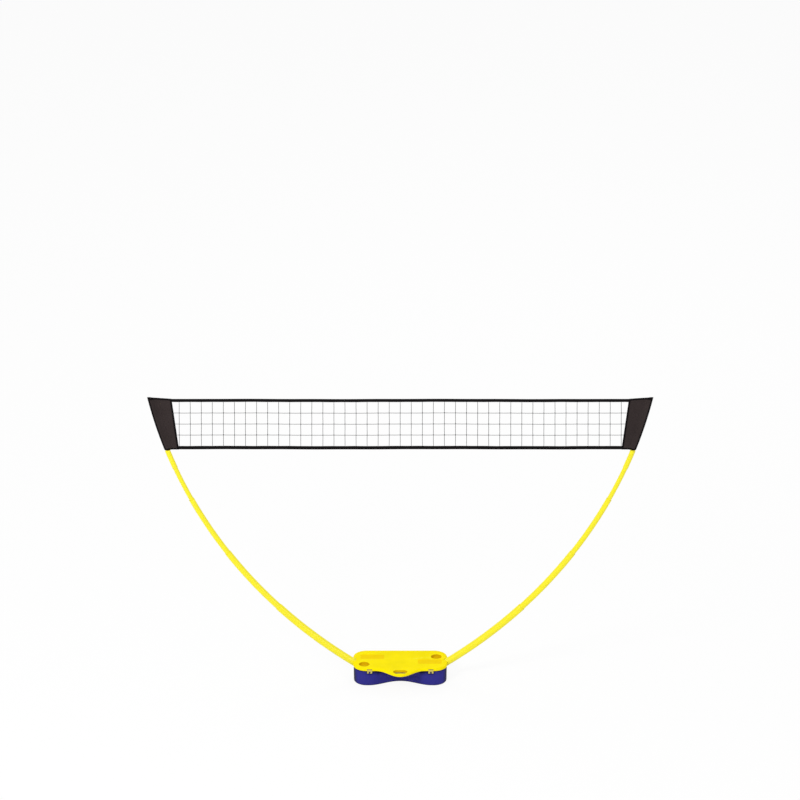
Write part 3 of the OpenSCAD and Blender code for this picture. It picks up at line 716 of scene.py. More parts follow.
def lid_levels():
    """(inwards, height) of the lid's skin: a bead round its foot, a rolled edge above it and a gently crowned
    top."""
    s, h = bead_step, bead_height
    step, flat = s + 0.25 * mm, cup_from_end - cup_r - 15 * mm
    t = np.array([0.12, 0.3, 0.5, 0.75, 1.0])
    top = np.stack([s + edge_r + (flat - s - edge_r) * t, lid_height + crown * np.sin(t * math.pi / 2)], -1)
    return [0, lid_z] + chain(
        (0.9 * s, 0), arc(s, s, s, (245, 220, 200, 180)),
        arc(s, h - s, s, (180, 155, 130, 105, 90)), (step, h + 0.25 * mm),
        arc(step + edge_r, lid_height - edge_r, edge_r, 180 - np.linspace(4, 88, 11), edge_r + 0.12 * mm),
        top)


def slot_line(grow):
    """The hand slot's outline, moved outwards by grow: two half circles with straight sides between."""
    right = arc((slot_length - slot_width) / 2, slot_y, slot_width / 2 + grow, np.linspace(-90, 90, 24))
    return chain(right, right[::-1] * [-1, 1])


def panel_line(x, y, grow):
    """A panel's outline about (x, y), moved outwards by grow: four quarter circles with straight sides."""
    half_x, half_y = panel_length / 2 - panel_r, panel_width / 2 - panel_r
    quarter = np.linspace(0, 90, 8)
    corners = ((1, -1, -90), (1, 1, 0), (-1, 1, 90), (-1, -1, 180))
    return chain(*[
        arc(x + sx * half_x, y + sy * half_y, panel_r + grow, quarter + start) for sx, sy, start in corners])


def handle_hollow():
    """The hollow under the handle: the lid's outline moved inwards, in front of the tub and round the hand
    slot."""
    low, high, half = lid_z - eps, lid_ceiling, 0.75 * handle_half
    obj = solid(prism(inset(lid_line, handle_wall), low, high))
    front = block(
        (-half, -lid_w - 2.5 * handle_reach, low - eps), (half, -lid_w + handle_reach / 2, high + eps))
    carve(obj, front, "INTERSECT")
    carve(obj, prism(inset(tub_line, -handle_wall), low - 2 * eps, high + 2 * eps))
    return carve(obj, prism(slot_line(handle_wall), low - 2 * eps, high + 2 * eps))


def add_latch_notch(obj, x):
    """A boss inside the lid's front edge, and the notch in it that a latch turns in."""
    half = latch_width / 2 + side_gap
    thick, inner = half + latch_boss, latch_notch_y + 3 * mm
    carve(obj, block((x - thick, latch_y, lid_z), (x + thick, inner, lid_ceiling + 0.5 * mm)), "UNION")
    carve(obj, block((x - half, -lid_w - 3 * mm, lid_z - eps), (x + half, latch_notch_y, latch_notch_z)))


def add_cup(obj, x, y):
    """A round recess: its shell below the lid's top, and its hollow with a filleted floor and rolled rim."""
    outer, fillet, roll = cup_r + cup_wall, 2.5 * mm, 1.6 * mm
    shell = [(outer - 1.2 * mm, 0), (outer - 0.3 * mm, 0.4 * mm), (outer, 1.2 * mm), (outer, cup_depth)]
    carve(obj, turned(shell, x, y, lid_face - cup_depth - cup_wall, 72), "UNION")
    hollow = chain(
        arc(cup_r - fillet, fillet, fillet, (-90, -68, -45, -23, 0)),
        arc(cup_r + roll, cup_depth - roll, roll, (180, 158, 135, 113, 95)),
        (cup_r + 1.9 * mm, cup_depth + 0.5 * mm))
    carve(obj, turned(hollow, x, y, lid_face - cup_depth, 72))


def add_panel(obj, x, y):
    """A shallow panel sunk into the lid's top, with eased edges."""
    levels = (
        (-0.6 * mm, -panel_depth), (-0.1 * mm, 0.3 * mm - panel_depth), (0, -0.4 * mm), (0.5 * mm, 0.1 * mm),
        (0.6 * mm, 1 * mm))
    carve(obj, stack([(panel_line(x, y, grow), lid_face + z) for grow, z in levels]))


def add_hand_slot(obj):
    """The handle's opening, flared by a quarter round at the top and at the bottom."""
    r = 2.2 * mm
    flare = chain((2.6 * mm, -0.5 * mm), arc(r, r, r, (260, 235, 210, 180)))
    lower = [(slot_line(grow), lid_z + z) for grow, z in flare]
    upper = [(slot_line(grow), lid_face - z) for grow, z in flare[::-1]]
    carve(obj, stack(lower + upper))


def make_lip():
    """The lip inside the tub's rim: a band between two insets of the tub's outline, notched for the poles."""
    outer, low = tub_wall + lip_gap, lid_z - lip_depth
    obj = solid(prism(inset(tub_line, outer), low, lid_z + eps))
    carve(obj, prism(inset(tub_line, outer + lip_wall), low - eps, lid_z + 2 * eps))
    for notch in both(channel(foot_d / 2 + lip_notch_gap, False)):
        carve(obj, notch)
    return obj


def lid_knuckle_at(side):
    """An outer knuckle of a hinge, on a tab from the lid's rear edge."""
    y, z, r = hinge_y, hinge_z, hinge_barrel_r
    tab = lid_w - 3 * mm
    profile = chain(arc(y, z, r, np.linspace(-196, 90, 34)), (tab, z + r), (tab, z + 1.2 * mm))
    return knuckle(hinge_x + side * (hinge_knuckle + lid_knuckle + 2 * side_gap) / 2, lid_knuckle, profile)


def make_lid():
    """The lid: its lofted skin, hollowed over the tub and in the handle, with all that is cut and added."""
    obj = solid(loft(lid_line, lid_levels()), "lid_shell")
    carve(obj, prism(inset(tub_line, tub_wall + lip_gap + lip_wall), lid_z - eps, lid_ceiling))
    carve(obj, handle_hollow())
    for x in (-latch_x, latch_x):
        add_latch_notch(obj, x)
    for x, y in cup_centres:
        add_cup(obj, x, y)
    for x, y in panel_centres:
        add_panel(obj, x, y)
    add_hand_slot(obj)
    for notch in both(channel(foot_d / 2 + lid_notch_gap, False)):
        carve(obj, notch)
    knuckles = [lid_knuckle_at(-1), lid_knuckle_at(1)]
    return smooth(join(obj, make_lip(), *knuckles, *map(twin, knuckles)), 28)


def tint_lid(obj):
    """Gives the panels' faces the second material, and those of the recesses and the hand slot the third, a
    darker copy of the lid's yellow that paints the shade in them.
    """
    faces = obj.data.polygons
    centres, normals = np.empty(3 * len(faces), np.float32), np.empty(3 * len(faces), np.float32)
    faces.foreach_get("center", centres)
    faces.foreach_get("normal", normals)
    x, y, z = centres.reshape(-1, 3).T.astype(float)
    below = lid_face - z
    tint = np.zeros(len(faces), np.int32)
    for cx, cy in panel_centres:
        inside = (np.abs(x - cx) < panel_length / 2 + 1 * mm) & (np.abs(y - cy) < panel_width / 2 + 1 * mm)
        tint[inside & (below > 0.25 * mm) & (below < panel_depth + 0.05 * mm)] = 1
    # The recesses' and the hand slot's faces get the painted shade
    for cx, cy in cup_centres:
        inside = np.hypot(x - cx, y - cy) < cup_r + 1 * mm
        tint[inside & (below > 1 * mm) & (below < cup_depth + 0.2 * mm)] = 2
    past_straight = np.maximum(0, np.abs(x) - (slot_length - slot_width) / 2)
    inside = np.hypot(past_straight, y - slot_y) < slot_width / 2 + 1.5 * mm
    upright = np.abs(normals[2::3]) < 0.6
    tint[inside & upright & (z > lid_z) & (below > 1.2 * mm)] = 2
    faces.foreach_set("material_index", tint)


finish_piece(make_tub(), TUB, "case", "tub", "base_tub")
lid = finish_piece(make_lid(), LID, "lid", "lid", "lid")
lid.data.materials.append(PANEL)
lid.data.materials.append(RECESS_PAINTED_SHADE)
tint_lid(lid)

# ---- the latches, and the case's small parts ----


def make_latch(name, x):
    """A latch: a barrel round its pin and a plate that hangs in front of it, forked over the keeper."""
    y, z, r = latch_y, latch_z, latch_barrel_r
    back, front, foot = y - latch_back, y - latch_back - latch_plate, z - latch_drop
    profile = chain(
        arc(y, z, r, np.linspace(-90, 90, 18)), (back, z + r - 0.6 * mm), (front, z - 2 * mm),
        (front, foot + 1 * mm), (front + 1 * mm, foot), (back, foot), (back, z - r - 1 * mm))
    obj = solid(across(profile, x - latch_width / 2, x + latch_width / 2), name)
    carve(obj, across(ring(latch_pin_r + pin_gap, y, z, 24), x - 0.03, x + 0.03))
    half, top = latch_slot / 2, foot + keeper_height + 3 * mm
    carve(obj, block((x - half, front - 1 * mm, foot - 1 * mm), (x + half, back + 1 * mm, top)))
    return bevel(obj, 0.45 * mm, 2, 40)


for side, x in (("left", -latch_x), ("right", latch_x)):
    finish_piece(make_latch(f"{side}_latch_clip", x), LATCH, f"{side}_latch", "latch", f"{side}_latch")

for node, mat in (
        ("left_socket", SOCKET), ("right_socket", SOCKET), ("socket_screws", STEEL),
        ("left_hinge_pin", STEEL), ("right_hinge_pin", STEEL),
        ("left_latch_pin", STEEL), ("right_latch_pin", STEEL)):
    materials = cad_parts[node].data.materials
    materials.clear()
    materials.append(mat)

# ---- the poles ----

on_axis = 0.01 * mm  # a radius next to nothing
bow_step = 0.03  # length of a pole's straight pieces


def bowed(profile, sides=56):
    """A closed profile of (length along the bow, radius), turned about the bow: the centreline + radius
    (cos a up + sin a aside)."""
    s, r = profile[:, :1], profile[:, 1:]
    (x, z), t = bow(s), slope_at(s)
    a = np.linspace(0, 2 * math.pi, sides, endpoint=False)
    P = np.stack([x - np.sin(t) * r * np.cos(a), r * np.sin(a), z + np.cos(t) * r * np.cos(a)], -1)
    u = np.arange(sides + 1) / sides * 2 * math.pi * r.mean()
    return grid(P, wrap_rows=True, wrap_cols=True, uv=(u, np.append(s, s[0] + 1e-6)))


def inner_steps(start, end):
    """Lengths between a pole piece's ends, a bow step apart."""
    n = max(2, int((end - start) / bow_step))
    return start + (end - start) * np.arange(1, n) / n


def nose(end, r, rounding, degrees):
    """A rounded end: an arc from the full radius to the end face."""
    return arc(end - rounding, r - rounding, rounding, degrees)


def pipe(outer, bore, start, end, edge=0.6 * mm):
    """Profile of a tube with eased ends: its outer line going up and its bore coming down."""
    r, hole, s = outer / 2, bore / 2, inner_steps(start, end)
    return chain(
        (start, hole + edge), (start, r - edge), (start + edge, r), level(s, r), (end - edge, r),
        (end - 0.25 * edge, r - 0.3 * edge), (end, r - edge), (end, hole + 0.3 * mm), (end - 0.3 * mm, hole),
        level(s[::-1], hole), (start + edge, hole))


def ferrule():
    """Profile of a ferrule: eased at its foot and top, with a lip that closes down to the rod."""
    foot, top, r, hole = ferrule_foot, ferrule_top, ferrule_d / 2, rod_d / 2 + glue_gap
    return chain(
        (foot, tube_d / 2 + 0.2 * mm), (foot + 0.2 * mm, r - 0.9 * mm), (foot + 2.2 * mm, r),
        level(foot + ferrule_length * np.arange(1, 5) / 5, r),
        (top - 1.6 * mm, r), (top - 0.4 * mm, r - 0.5 * mm), (top, r - 1.5 * mm),
        (top, hole), (top - ferrule_lip, hole), (top - ferrule_lip, tube_d / 2 + glue_gap))


def tip_rod():
    """Profile of a tip rod, with an eased foot and a rounded end."""
    start, r = ferrule_top - rod_depth, rod_d / 2
    return chain(
        (start, on_axis), (start, r - 0.5 * mm), (start + 0.5 * mm, r), level(inner_steps(start, rod_end), r),
        nose(rod_end, r, 2 * mm, (90, 65, 40, 15, 0)), (rod_end, on_axis))


def tip_cap():
    """Profile of a tip cap: a rubber cup over the rod's end, with a rounded nose."""
    top, r, hole = rod_end + cap_over, cap_d / 2, rod_d / 2 + glue_gap
    foot, seat = top - cap_length, rod_end + 0.1 * mm
    return chain(
        (foot, hole), (foot, r - 0.5 * mm), (foot + 1 * mm, r), nose(top, r, 2.5 * mm, (90, 60, 30, 0)),
        (top, on_axis), (seat, on_axis), (seat, hole))


foot_bore, section_2_bore, section_3_bore = (d + 2 * slide_gap for d in (section_2_d, section_3_d, tube_d))
tip_bore, tip_end = rod_d + 2 * glue_gap, ferrule_top - ferrule_lip - glue_gap
for name, body, mat, slot, profile in (
        ("foot_section", "case", POLE, "pole", pipe(foot_d, foot_bore, -spigot_depth, joint_1)),
        ("section_2", "{}_section_2", POLE, "pole",
         pipe(section_2_d, section_2_bore, joint_1 - overlap, joint_2)),
        ("section_3", "{}_section_3", POLE, "pole",
         pipe(section_3_d, section_3_bore, joint_2 - overlap, joint_3)),
        ("section_4", "{}_tip", POLE, "pole", pipe(tube_d, tip_bore, joint_3 - overlap, tip_end)),
        ("ferrule", "{}_tip", POLE, "pole", ferrule()),
        ("tip_rod", "{}_tip", ROD, "rod", tip_rod()),
        ("tip_cap", "{}_tip", RUBBER, "cap", tip_cap())):
    right, left = both(bowed(profile))
    for side, part in (("left", left), ("right", right)):
        obj = mesh_object(f"{side}_{name}_skin", part, sharp=50)
        finish_piece(obj, mat, body.format(side), slot, f"{side}_{name}")

# ---- the sleeves ----

s_low = length_at(net_bottom)
s_high = s_low + 0.3
for _ in range(60):  # where the sleeve's slanting top edge meets the pole
    x, z = bow(s_high)
    below_edge = float(net_top + sleeve_peak / sleeve_top * (x - sleeve_in_top) - z)
    s_high += below_edge / math.sin(float(slope_at(s_high)))

# tension folds in the cloth: from, to, height and half width, the points in the X-Z plane
fold_lines = [
    ((sleeve_in_top + 4 * mm, net_top - 12 * mm), (1.458, 1.709), 2.2 * mm, 9 * mm),
    ((sleeve_in_top + 4 * mm, net_top - 16 * mm), (1.434, 1.649), -1.5 * mm, 8 * mm),
    ((sleeve_in_bottom + 4 * mm, net_bottom + 14 * mm), (1.431, 1.649), 1.8 * mm, 8 * mm),
    ((sleeve_in_bottom + 6 * mm, net_bottom + 16 * mm), (1.405, 1.569), -1.2 * mm, 7 * mm),
    ((1.352, 1.699), (1.449, 1.754), 1.2 * mm, 10 * mm)]
flat_steps, ease_steps, round_steps = 7, 8, 22  # of half a section: panel, way to the pocket, half of it
last_col = 2 * (flat_steps + ease_steps + round_steps) - 2


def sleeve_lines(v):
    """At height shares v, in the X-Z plane: the sleeve's inner edge, the unit direction from it to the pole's
    centre, the distance between them and the pole's slope."""
    s = s_low + (s_high - s_low) * v
    x = sleeve_in_bottom + (sleeve_in_top - sleeve_in_bottom) * v
    inner = np.stack([x, net_bottom + net_height * v], -1)
    out = np.stack(bow(s), -1) - inner
    width = np.linalg.norm(out, axis=-1)
    return inner, out / width[:, None], width, slope_at(s)


def folds(x, z, v):
    """Shallow folds, as Gaussian ridges along lines from where the tapes pull, faded at top and bottom."""
    total = np.zeros_like(x)
    for start, end, height, half_width in fold_lines:
        (x0, z0), (dx, dz) = start, np.subtract(end, start)
        t = np.clip(((x - x0) * dx + (z - z0) * dz) / (dx * dx + dz * dz), -0.2, 1.2)
        off = (dx * (z - z0) - dz * (x - x0)) / math.hypot(dx, dz)
        swell = np.sin(np.clip(t, 0, 1) * np.pi * 0.9 + 0.2) * (t > -0.15) * (t < 1.15)
        total += height * np.exp(-(off / half_width) ** 2) * swell
    return total * ease(np.minimum(v, 1 - v) / 0.12)


def sleeve_section(v, off):
    """The sleeve's section at height shares v, pushed out by off: (outwards from the inner edge, y).

    Half of it runs flat at half_gap, then on a cubic curve, then round an ellipse about the pole's centre;
    the other half is its mirror. The half axes are the pocket's radius, which flattens into the top seam, and
    the same over the sine of the angle at which the section crosses the pole."""
    _, out, width, slope = (np.expand_dims(k, 1) for k in sleeve_lines(v))
    pocket = pocket_r - cloth_half
    crossing = slope - np.arctan2(out[..., 1], out[..., 0])
    open_share = np.clip((1 - v[:, None]) / 0.03, 0, 1) ** 0.5
    thick = np.maximum(pocket * open_share + half_gap * (1 - open_share), half_gap + 0.02 * mm) + off
    turn = np.radians(np.linspace(132, 0, round_steps))
    wrap = np.stack([width + (pocket / np.sin(crossing) + off) * np.cos(turn), thick * np.sin(turn)], -1)
    seam, height = width - 2.3 * pocket_r, np.full_like(width, half_gap + off)
    start, end = np.stack([seam, height], -1), wrap[:, :1]
    heading = wrap[:, 1:2] - end
    heading /= np.linalg.norm(heading, axis=2, keepdims=True)
    reach = np.linalg.norm(end - start, axis=2, keepdims=True) / 3
    t = np.linspace(0, 1, ease_steps + 1)[:-1, None]
    curve = (1 - t) ** 3 * start + 3 * (1 - t) ** 2 * t * (start + reach * [1, 0])
    curve = curve + 3 * (1 - t) * t * t * (end - reach * heading) + t ** 3 * end
    panel = np.stack(np.broadcast_arrays(seam * np.arange(flat_steps) / flat_steps, height), -1)
    half = np.concatenate([panel, curve, wrap], 1)
    return np.concatenate([half, half[:, -2::-1] * [1, -1]], 1), seam


def sleeve_cloth(v, off):
    """Points of the sleeve's cloth at height shares v, pushed out by off: its section, with folds in the
    panel and small puckers round the pocket."""
    v = np.atleast_1d(np.asarray(v, float))
    section, seam = sleeve_section(v, off)
    inner, out = (k[:, None] for k in sleeve_lines(v)[:2])
    q, y, v = section[..., 0], section[..., 1], v[:, None]
    x, z = inner[..., 0] + q * out[..., 0], inner[..., 1] + q * out[..., 1]
    on_panel = np.clip((seam + 6 * mm - q) / (8 * mm), 0, 1) * np.clip(q / (10 * mm), 0, 1)
    on_pocket = np.clip((q - seam) / (8 * mm), 0, 1) * np.clip(np.minimum(v, 1 - v) / 0.05, 0, 1)
    puckers = 0.35 * mm * np.sin(v * 61 + 3 * np.sin(q * 90)) * on_pocket
    y = y + folds(x, z, v) * on_panel + puckers * np.sign(y) * np.minimum(1, np.abs(y) / (4 * mm))
    return np.stack([x, y, z], -1)


def sleeve_band(v0, v1, inside, outside, n, cols=slice(None)):
    """A thin piece of the sleeve's cloth, or of a binding on it, between two height shares: its outer and
    inner faces, joined at the sides by the grid and at the ends by quads."""
    v = np.linspace(v0, v1, n)
    outer, inner = sleeve_cloth(v, outside)[:, cols], sleeve_cloth(v, inside)[:, cols]
    along = lengths(outer[n // 2])
    u = np.concatenate([along, along[::-1] + along[-1] + 1 * mm, [2 * along[-1] + 2 * mm]])
    P = np.concatenate([outer, inner[:, ::-1]], 1)
    m = P.shape[1]
    j = np.arange(m // 2 - 1)
    rim = np.stack([j, m - 1 - j, m - 2 - j, j + 1], -1)
    part = grid(P, wrap_cols=True, uv=(u, sleeve_lines(v)[0][:, 1]))
    return with_faces(part, rim, rim[:, ::-1] + (n - 1) * m)


def inner_binding():
    """A strip folded round the sleeve's inner edge: a closed section of (outwards, y) carried up the edge."""
    v = np.linspace(0, 1, 40)
    inner, out = (k[:, None] for k in sleeve_lines(v)[:2])
    w, far, near = binding_width, half_gap + binding_far, half_gap + binding_near
    front = chain((w, far), (w / 2, far + 0.05 * mm), (0, far), arc(0, 0, 1.4 * mm, (120, 150), far))
    under = chain((w, -near), (w / 2, -near), (0.4 * mm, -near), (-0.5 * mm, -0.6 * near))
    section = chain(
        front, (-1.5 * mm, 0), front[::-1] * [1, -1], under, (-0.7 * mm, 0), under[::-1] * [1, -1])
    q = section[:, 0]
    x, z = inner[..., 0] + q * out[..., 0], inner[..., 1] + q * out[..., 1]
    y = section[:, 1] + folds(x, z, v[:, None]) * np.clip(q / w, 0, 1)
    u = np.linspace(0, 2 * (2 * w + 8 * mm), len(section) + 1)
    return grid(np.stack([x, y, z], -1), wrap_cols=True, caps=True, uv=(u, v * net_height))


def top_closing():
    """The top binding's strip over both layers: straight from the front to the back, raised by a sine."""
    row = sleeve_cloth(1.0, binding_far)[0]
    half = len(row) // 2 + 1
    front, back = row[:half], row[::-1][:half]
    out_x, out_z = sleeve_lines(np.ones(1))[1][0]
    t = np.linspace(0, 1, 7)[:, None, None]
    P = front + (back - front) * t + np.array([-out_z, 0, out_x]) * 1.1 * mm * np.sin(math.pi * t)
    return grid(P, uv=(np.linspace(0, 0.13, half), np.linspace(0, 8 * mm, 7)))


def stitches(path, outward, pitch=4.2 * mm, length=2.6 * mm, thick=0.35 * mm):
    """A row of stitches along a path: each a short thread that arches out and dips into the cloth at both
    ends."""
    along = lengths(path)
    middles = (np.arange(int(along[-1] / pitch)) + 0.5) * pitch
    s = middles[:, None] + np.array([-0.5, -0.25, 0.25, 0.5]) * length
    place, out = (np.stack([np.interp(s, along, k) for k in line.T], -1) for line in (path, outward))
    return tubes(place + out * np.array([-0.3, 0.18, 0.18, -0.3])[:, None] * mm, thick / 2, 5)


def cloth_line(v, cols, off):
    """A line up or across the sleeve's cloth, and the unit directions out of the cloth along it."""
    line, raised = (sleeve_cloth(v, k)[:, cols].reshape(-1, 3) for k in (off, off + 0.2 * mm))
    out = raised - line
    return line, out / np.maximum(np.linalg.norm(out, axis=1, keepdims=True), 1e-9)


def sleeve_stitches(v_low, v_top):
    """The sleeve's seams: two rows beside the pocket, one along each end's binding and one along the inner
    edge's, on both faces."""
    v, half = np.linspace(0.012, 0.988, 120), np.arange(1, 34)
    seams = []
    for col in (flat_steps, last_col - flat_steps, flat_steps - 1, last_col - flat_steps + 1):
        seams.append(cloth_line(v, col, cloth_half + 0.1 * mm))
    for end in (0.8 * v_low, v_top + 0.2 * (1 - v_top)):
        seams += [cloth_line(end, cols, cloth_half + thread_over) for cols in (half, last_col - half)]
    inner, out, _, _ = sleeve_lines(v)
    x, z = (inner + 0.8 * binding_width * out).T
    for sign in (-1, 1):
        y = np.full(len(v), sign * (half_gap + cloth_half + thread_over))
        seams.append((np.stack([x, y, z], -1), np.tile([0.0, sign, 0.0], (len(v), 1))))
    return several([stitches(*seam) for seam in seams])


def make_sleeve():
    """The right sleeve: its cloth, its bindings and its stitches."""
    v_low, v_top = binding_width / net_height, 1 - binding_width / net_height
    middle = last_col // 2
    round_pole = slice(middle - 12, middle + 13)
    cloth = sleeve_band(0.0, 1.0, -cloth_half, cloth_half, 110)
    edging = several([
        sleeve_band(0.0, v_low, binding_near, binding_far, 8),
        sleeve_band(v_top, 1.0, binding_near, binding_far, 14),
        top_closing(), inner_binding(),
        sleeve_band(v_low + 0.002, v_top - 0.002, binding_near, cloth_half + 0.7 * mm, 90, round_pole)])
    return cloth, edging, sleeve_stitches(v_low, v_top)


right_sleeve = make_sleeve()
layers = ("cloth", "binding", "stitching")
for side, parts in (("left", [mirrored(part) for part in right_sleeve]), ("right", right_sleeve)):
    cloth, edging, thread = (
        mesh_object(f"{side}_sleeve_{layer}", part, sharp=60) for layer, part in zip(layers, parts))
    finish_piece(cloth, SLEEVE, side + "_tip", "sleeve", side + "_net_sleeve")
    finish_piece(edging, BINDING, side + "_tip", "sleeve")
    finish_piece(thread, THREAD, side + "_tip", "sleeve")

# ---- the net ----


def sleeve_edge(z):
    """How far from the middle the sleeves' inner edges are at a height: straight from bottom to top."""
    return sleeve_in_bottom + (sleeve_in_top - sleeve_in_bottom) * (z - net_bottom) / net_height


def sway(x, z):
    """How far the net is off Y = 0: a long wave and a short one across it, gone at the sleeves."""
    hold = np.clip((1.30 - np.abs(x)) / 0.25, 0, 1)
    return hold * (1.6 * mm * np.sin(x * 5.1 + 0.4) + 0.8 * mm * np.sin(x * 17 + z * 9))


def pressed(x, edge):
    """How flat a tape is pressed, from 0 in the open to 1 between the sleeve's layers."""
    return np.clip((np.abs(x) - sleeve_edge(edge) + tape_sewn) / tape_flat, 0, 1)


def tape_section(height, flat):
    """The section of a strip folded over a rope, at each share of flatness: (up from its free edges, y),
    round the cloth's outside and back inside."""
    flat = flat[:, None]
    one = np.ones_like(flat)

    def points(ups, ys):
        """Points of (up, y) for each share, out of numbers and columns."""
        return np.stack([np.concatenate([one * k for k in line], 1) for line in (ups, ys)], -1)

    def folded(half, tip):
        """Half a section, its tip and its mirror."""
        return [half, points([tip], [0]), half[:, ::-1] * [1, -1]]

    cloth, rope, web = 1.0 * mm, 2.0 * mm - 0.95 * mm * flat, 1.25 * mm - 0.23 * mm * flat
    a = np.radians([25, 50, 75])
    outside = points(
        (0, height / 4, height / 2, height - 6 * mm, height - 4.2 * mm, height - 2.4 * mm,
         height - rope * (1 - np.sin(a))),
        (web, web, 1.02 * web, (web + rope) / 2, 0.96 * rope, rope, rope * np.cos(a)))
    inside = points(
        (0, height / 2, height - 4.6 * mm, height - 2.4 * mm),
        (0.95 * cloth - web, 0.95 * cloth - web,
         -0.9 * (rope - cloth) - 0.02 * mm, -np.maximum(rope - cloth, 0.04 * mm)))
    return np.concatenate(folded(outside, height) + folded(inside, height - cloth), 1)


def make_tape(edge, height, way):
    """A folded tape along the net's top (way 1) or bottom (way -1) edge, its rope at the net's outer edge.
    Its ends are pressed flat between the sleeve's layers, where they slant inwards."""
    end = sleeve_edge(edge) + tape_sewn
    tip = np.arange(0, 20, 4) * mm
    x = np.concatenate([tip - end, np.linspace(20 * mm - end, end - 20 * mm, 239), end - tip[::-1]])
    hold = pressed(x, edge)
    section = tape_section(height, ease(hold))
    ripple = 0.35 * mm * np.sin(x * 41) * np.sin(x * 7.3 + 1) * (1 - hold)
    slant = 3.5 * mm * np.clip((np.abs(x) - sleeve_edge(edge) - 2 * mm) / (6 * mm), 0, 1)
    up = section[..., 0] + ripple[:, None] * (1 - section[..., 0] / height) - slant[:, None]
    y = section[..., 1] + sway(x, edge)[:, None]
    P = np.stack([np.broadcast_to(x[:, None], y.shape), y, edge - way * (height - up)], -1)
    return grid(P, wrap_cols=True, caps=True, uv=(lengths(np.vstack([P[0], P[0][:1]])), x))


def tape_stitches(edge, height, way):
    """Two rows of stitches on each face of a tape."""
    end = sleeve_edge(edge) - 6 * mm
    x = np.arange(-end, end, 8 * mm)
    rows_of_thread = []
    for up, open_y in ((2.2 * mm, 1.28 * mm), (height - 7 * mm, 1.42 * mm)):
        z = np.full_like(x, edge - way * (height - up))
        for sign in (-1, 1):
            y = sign * (open_y + (1.05 * mm - open_y) * pressed(x, edge)) + sway(x, edge)
            out = np.tile([0.0, sign, 0.0], (len(x), 1))
            rows_of_thread.append(stitches(np.stack([x, y, z], -1), out, 5 * mm, 3.1 * mm, 0.4 * mm))
    return several(rows_of_thread)


def uprights():
    """The upright twines, from inside the bottom tape to inside the top tape, thin where they are sewn in:
    each leans on a half sine and waves a little."""
    z = np.concatenate([tape_low - np.array([14, 8, 4, 2]) * mm, np.linspace(tape_low, tape_high, 29),
                        tape_high + np.array([2, 4, 8, 12]) * mm])
    i = np.arange(columns + 1)[:, None]
    lean = 0.5 * mm * rng.uniform(-1, 1, i.shape)
    x = i * pitch_x - net_half + lean * np.sin(np.pi * (z - tape_low) / (tape_high - tape_low))
    x = x + 0.25 * mm * np.sin(z * 60 + i)
    bare = np.minimum(z - tape_low, tape_high - z)
    y = sway(x, z) + twine_offset * np.clip(bare / (6 * mm), 0, 1)
    thick = np.clip(0.5 + bare / (3 * mm), 0, 1)
    return tubes(np.stack(np.broadcast_arrays(x, y, z), -1), sewn_r + (twine_r - sewn_r) * thick, 8)


def cross_twines():
    """The cross twines, into both sleeves: slack by a half sine in each mesh, and thin between the sleeve's
    layers."""
    z0 = tape_low + np.arange(1, rows)[:, None] * pitch_z
    end = sleeve_edge(z0) + 38 * mm
    x = end * np.linspace(-1, 1, 8 * columns + 1)
    z = z0 - 0.5 * mm * np.sin(np.pi * ((x + net_half) / pitch_x % 1.0)) * (np.abs(x) < net_half)
    y = sway(x, z) - twine_offset * np.clip((net_half + 6 * mm - np.abs(x)) / (4 * mm), 0, 1)
    thick = np.clip((end - 34 * mm - np.abs(x)) / (4 * mm), 0, 1)
    return tubes(np.stack([x, y, z], -1), layer_r + (twine_r - layer_r) * thick, 8)


def knots():
    """A knot at each crossing: a closed curve of three lobes, r = 1.5 + 0.8 cos 3a at the angle 2a, with y
    following sin 3a, and every second one upside down."""
    i, k = (n.reshape(-1, 1) for n in np.meshgrid(np.arange(columns + 1), np.arange(1, rows)))
    a = np.linspace(0, 2 * math.pi, 27)
    r = 1.15 * (1.5 * mm + 0.8 * mm * np.cos(3 * a))
    x = i * pitch_x - net_half + r * np.cos(2 * a)
    z = tape_low + k * pitch_z + r * np.sin(2 * a) * np.where((i + k) % 2, 1, -1)
    return tubes(np.stack([x, 1.2 * mm * np.sin(3 * a) + sway(x, z), z], -1), 0.34 * twine, 6, caps=False)


def net_piece(name, part, mat, slot, keep, *nodes):
    """A piece of the net, on its own copy of its mesh."""
    obj = finish_piece(mesh_object(name, part, sharp=60), mat, "net", slot, *nodes)
    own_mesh(obj)
    return obj


net_piece("net_twines", several([uprights(), cross_twines(), knots()]), TWINE, "twine", keep_low, "net_mesh")
for name, edge, height, way, keep in (
        ("top_tape", net_top, top_tape_height, 1, keep_high),
        ("bottom_tape", net_bottom, bottom_tape_height, -1, keep_low)):
    cloth = net_piece(name + "_cloth", make_tape(edge, height, way), TAPE, "tape", keep, name)
    thread = net_piece(name + "_stitching", tape_stitches(edge, height, way), THREAD, "tape", keep)

# ---- floor, world, lamps and camera ----


def seen_rays(graph):
    """1 for rays from the camera and for those that mirror or pass through, so that they meet the white
    background."""
    ray = graph.add("LightPath").outputs
    total = graph.maths("ADD", ray["Is Camera Ray"], ray["Is Glossy Ray"])
    return graph.maths("MINIMUM", graph.maths("ADD", total, ray["Is Transmission Ray"]), 1.0)


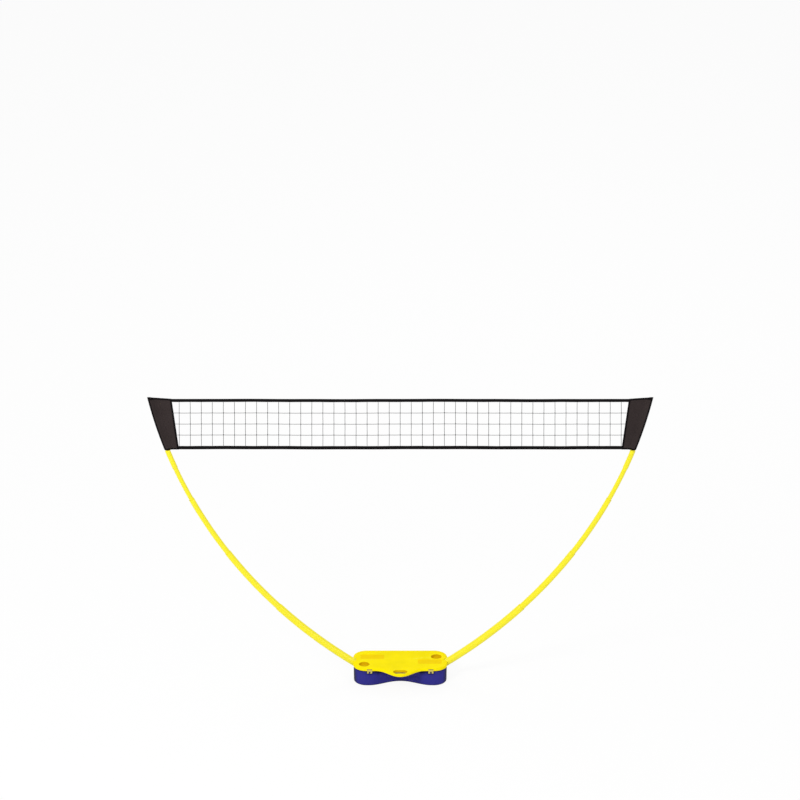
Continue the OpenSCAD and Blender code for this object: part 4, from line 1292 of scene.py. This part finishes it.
def make_floor(half=60, z=-0.3 * mm):
    """A wide white square just under the tub, mostly glowing for the rays that are seen, and lit for the
    rest."""
    x, y = np.meshgrid([-half, half], [-half, half])
    obj = mesh_object("floor", grid(np.stack([x, y, np.full_like(x, z, float)], -1)))
    f = Finish("floor_white", (0.92, 0.92, 0.92), 0.9)
    glow = f.add("Emission", {"Color": (1, 1, 1), "Strength": 1.0}).outputs[0]
    share = f.times(seen_rays(f), 0.9)
    blend = f.add("MixShader", {0: share, 1: f.shader.outputs[0], 2: glow})
    f.put(f.nodes["Material Output"].inputs["Surface"], blend.outputs[0])
    obj.data.materials.append(f.material)


def make_world():
    """A plain white world, which lights the object less strongly than it shows behind it."""
    world = bpy.data.worlds.new("studio")
    world.use_nodes = True
    graph = Graph(world.node_tree)
    lit, shown = graph.nodes["Background"], graph.add("Background")
    for node, strength in ((lit, 0.6), (shown, 1.0)):
        graph.put(node.inputs["Color"], (1, 1, 1))
        graph.put(node.inputs["Strength"], strength)
    pick = graph.add("MixShader", {0: seen_rays(graph), 1: lit.outputs[0], 2: shown.outputs[0]})
    graph.put(graph.nodes["World Output"].inputs["Surface"], pick.outputs[0])
    bpy.context.scene.world = world


def aimed(name, data, place, aim):
    """A lamp or camera at a place, turned towards an aim."""
    obj = bpy.data.objects.new(name, data)
    obj.location = place
    obj.rotation_euler = (Vector(aim) - Vector(place)).to_track_quat("-Z", "Y").to_euler()
    bpy.context.scene.collection.objects.link(obj)
    return obj


def area_light(name, place, size, power):
    """A round lamp aimed at the object's middle."""
    lamp = bpy.data.lights.new(name, "AREA")
    lamp.shape, lamp.size, lamp.energy = "DISK", size, power
    aimed(name, lamp, place, (0, 0, 0.9))


def make_camera(elevation=math.radians(26), distance=200):
    """A far camera with a long lens, which looks down at the object from the front."""
    data = bpy.data.cameras.new("camera")
    data.sensor_width, data.lens, data.clip_end = 36, 1512, 500
    aim = Vector((-0.0015, 0.0, 1.8410))
    place = aim + distance * Vector((0, -math.cos(elevation), math.sin(elevation)))
    bpy.context.scene.camera = aimed("camera", data, place, aim)


make_floor()
make_world()
area_light("key", (-4.5, -6.0, 7.0), 3.0, 430)
area_light("fill", (5.5, -5.0, 4.0), 4.0, 70)
area_light("rim", (1.0, 6.0, 6.0), 3.0, 110)
make_camera()
bpy.context.scene.view_settings.view_transform = "Standard"
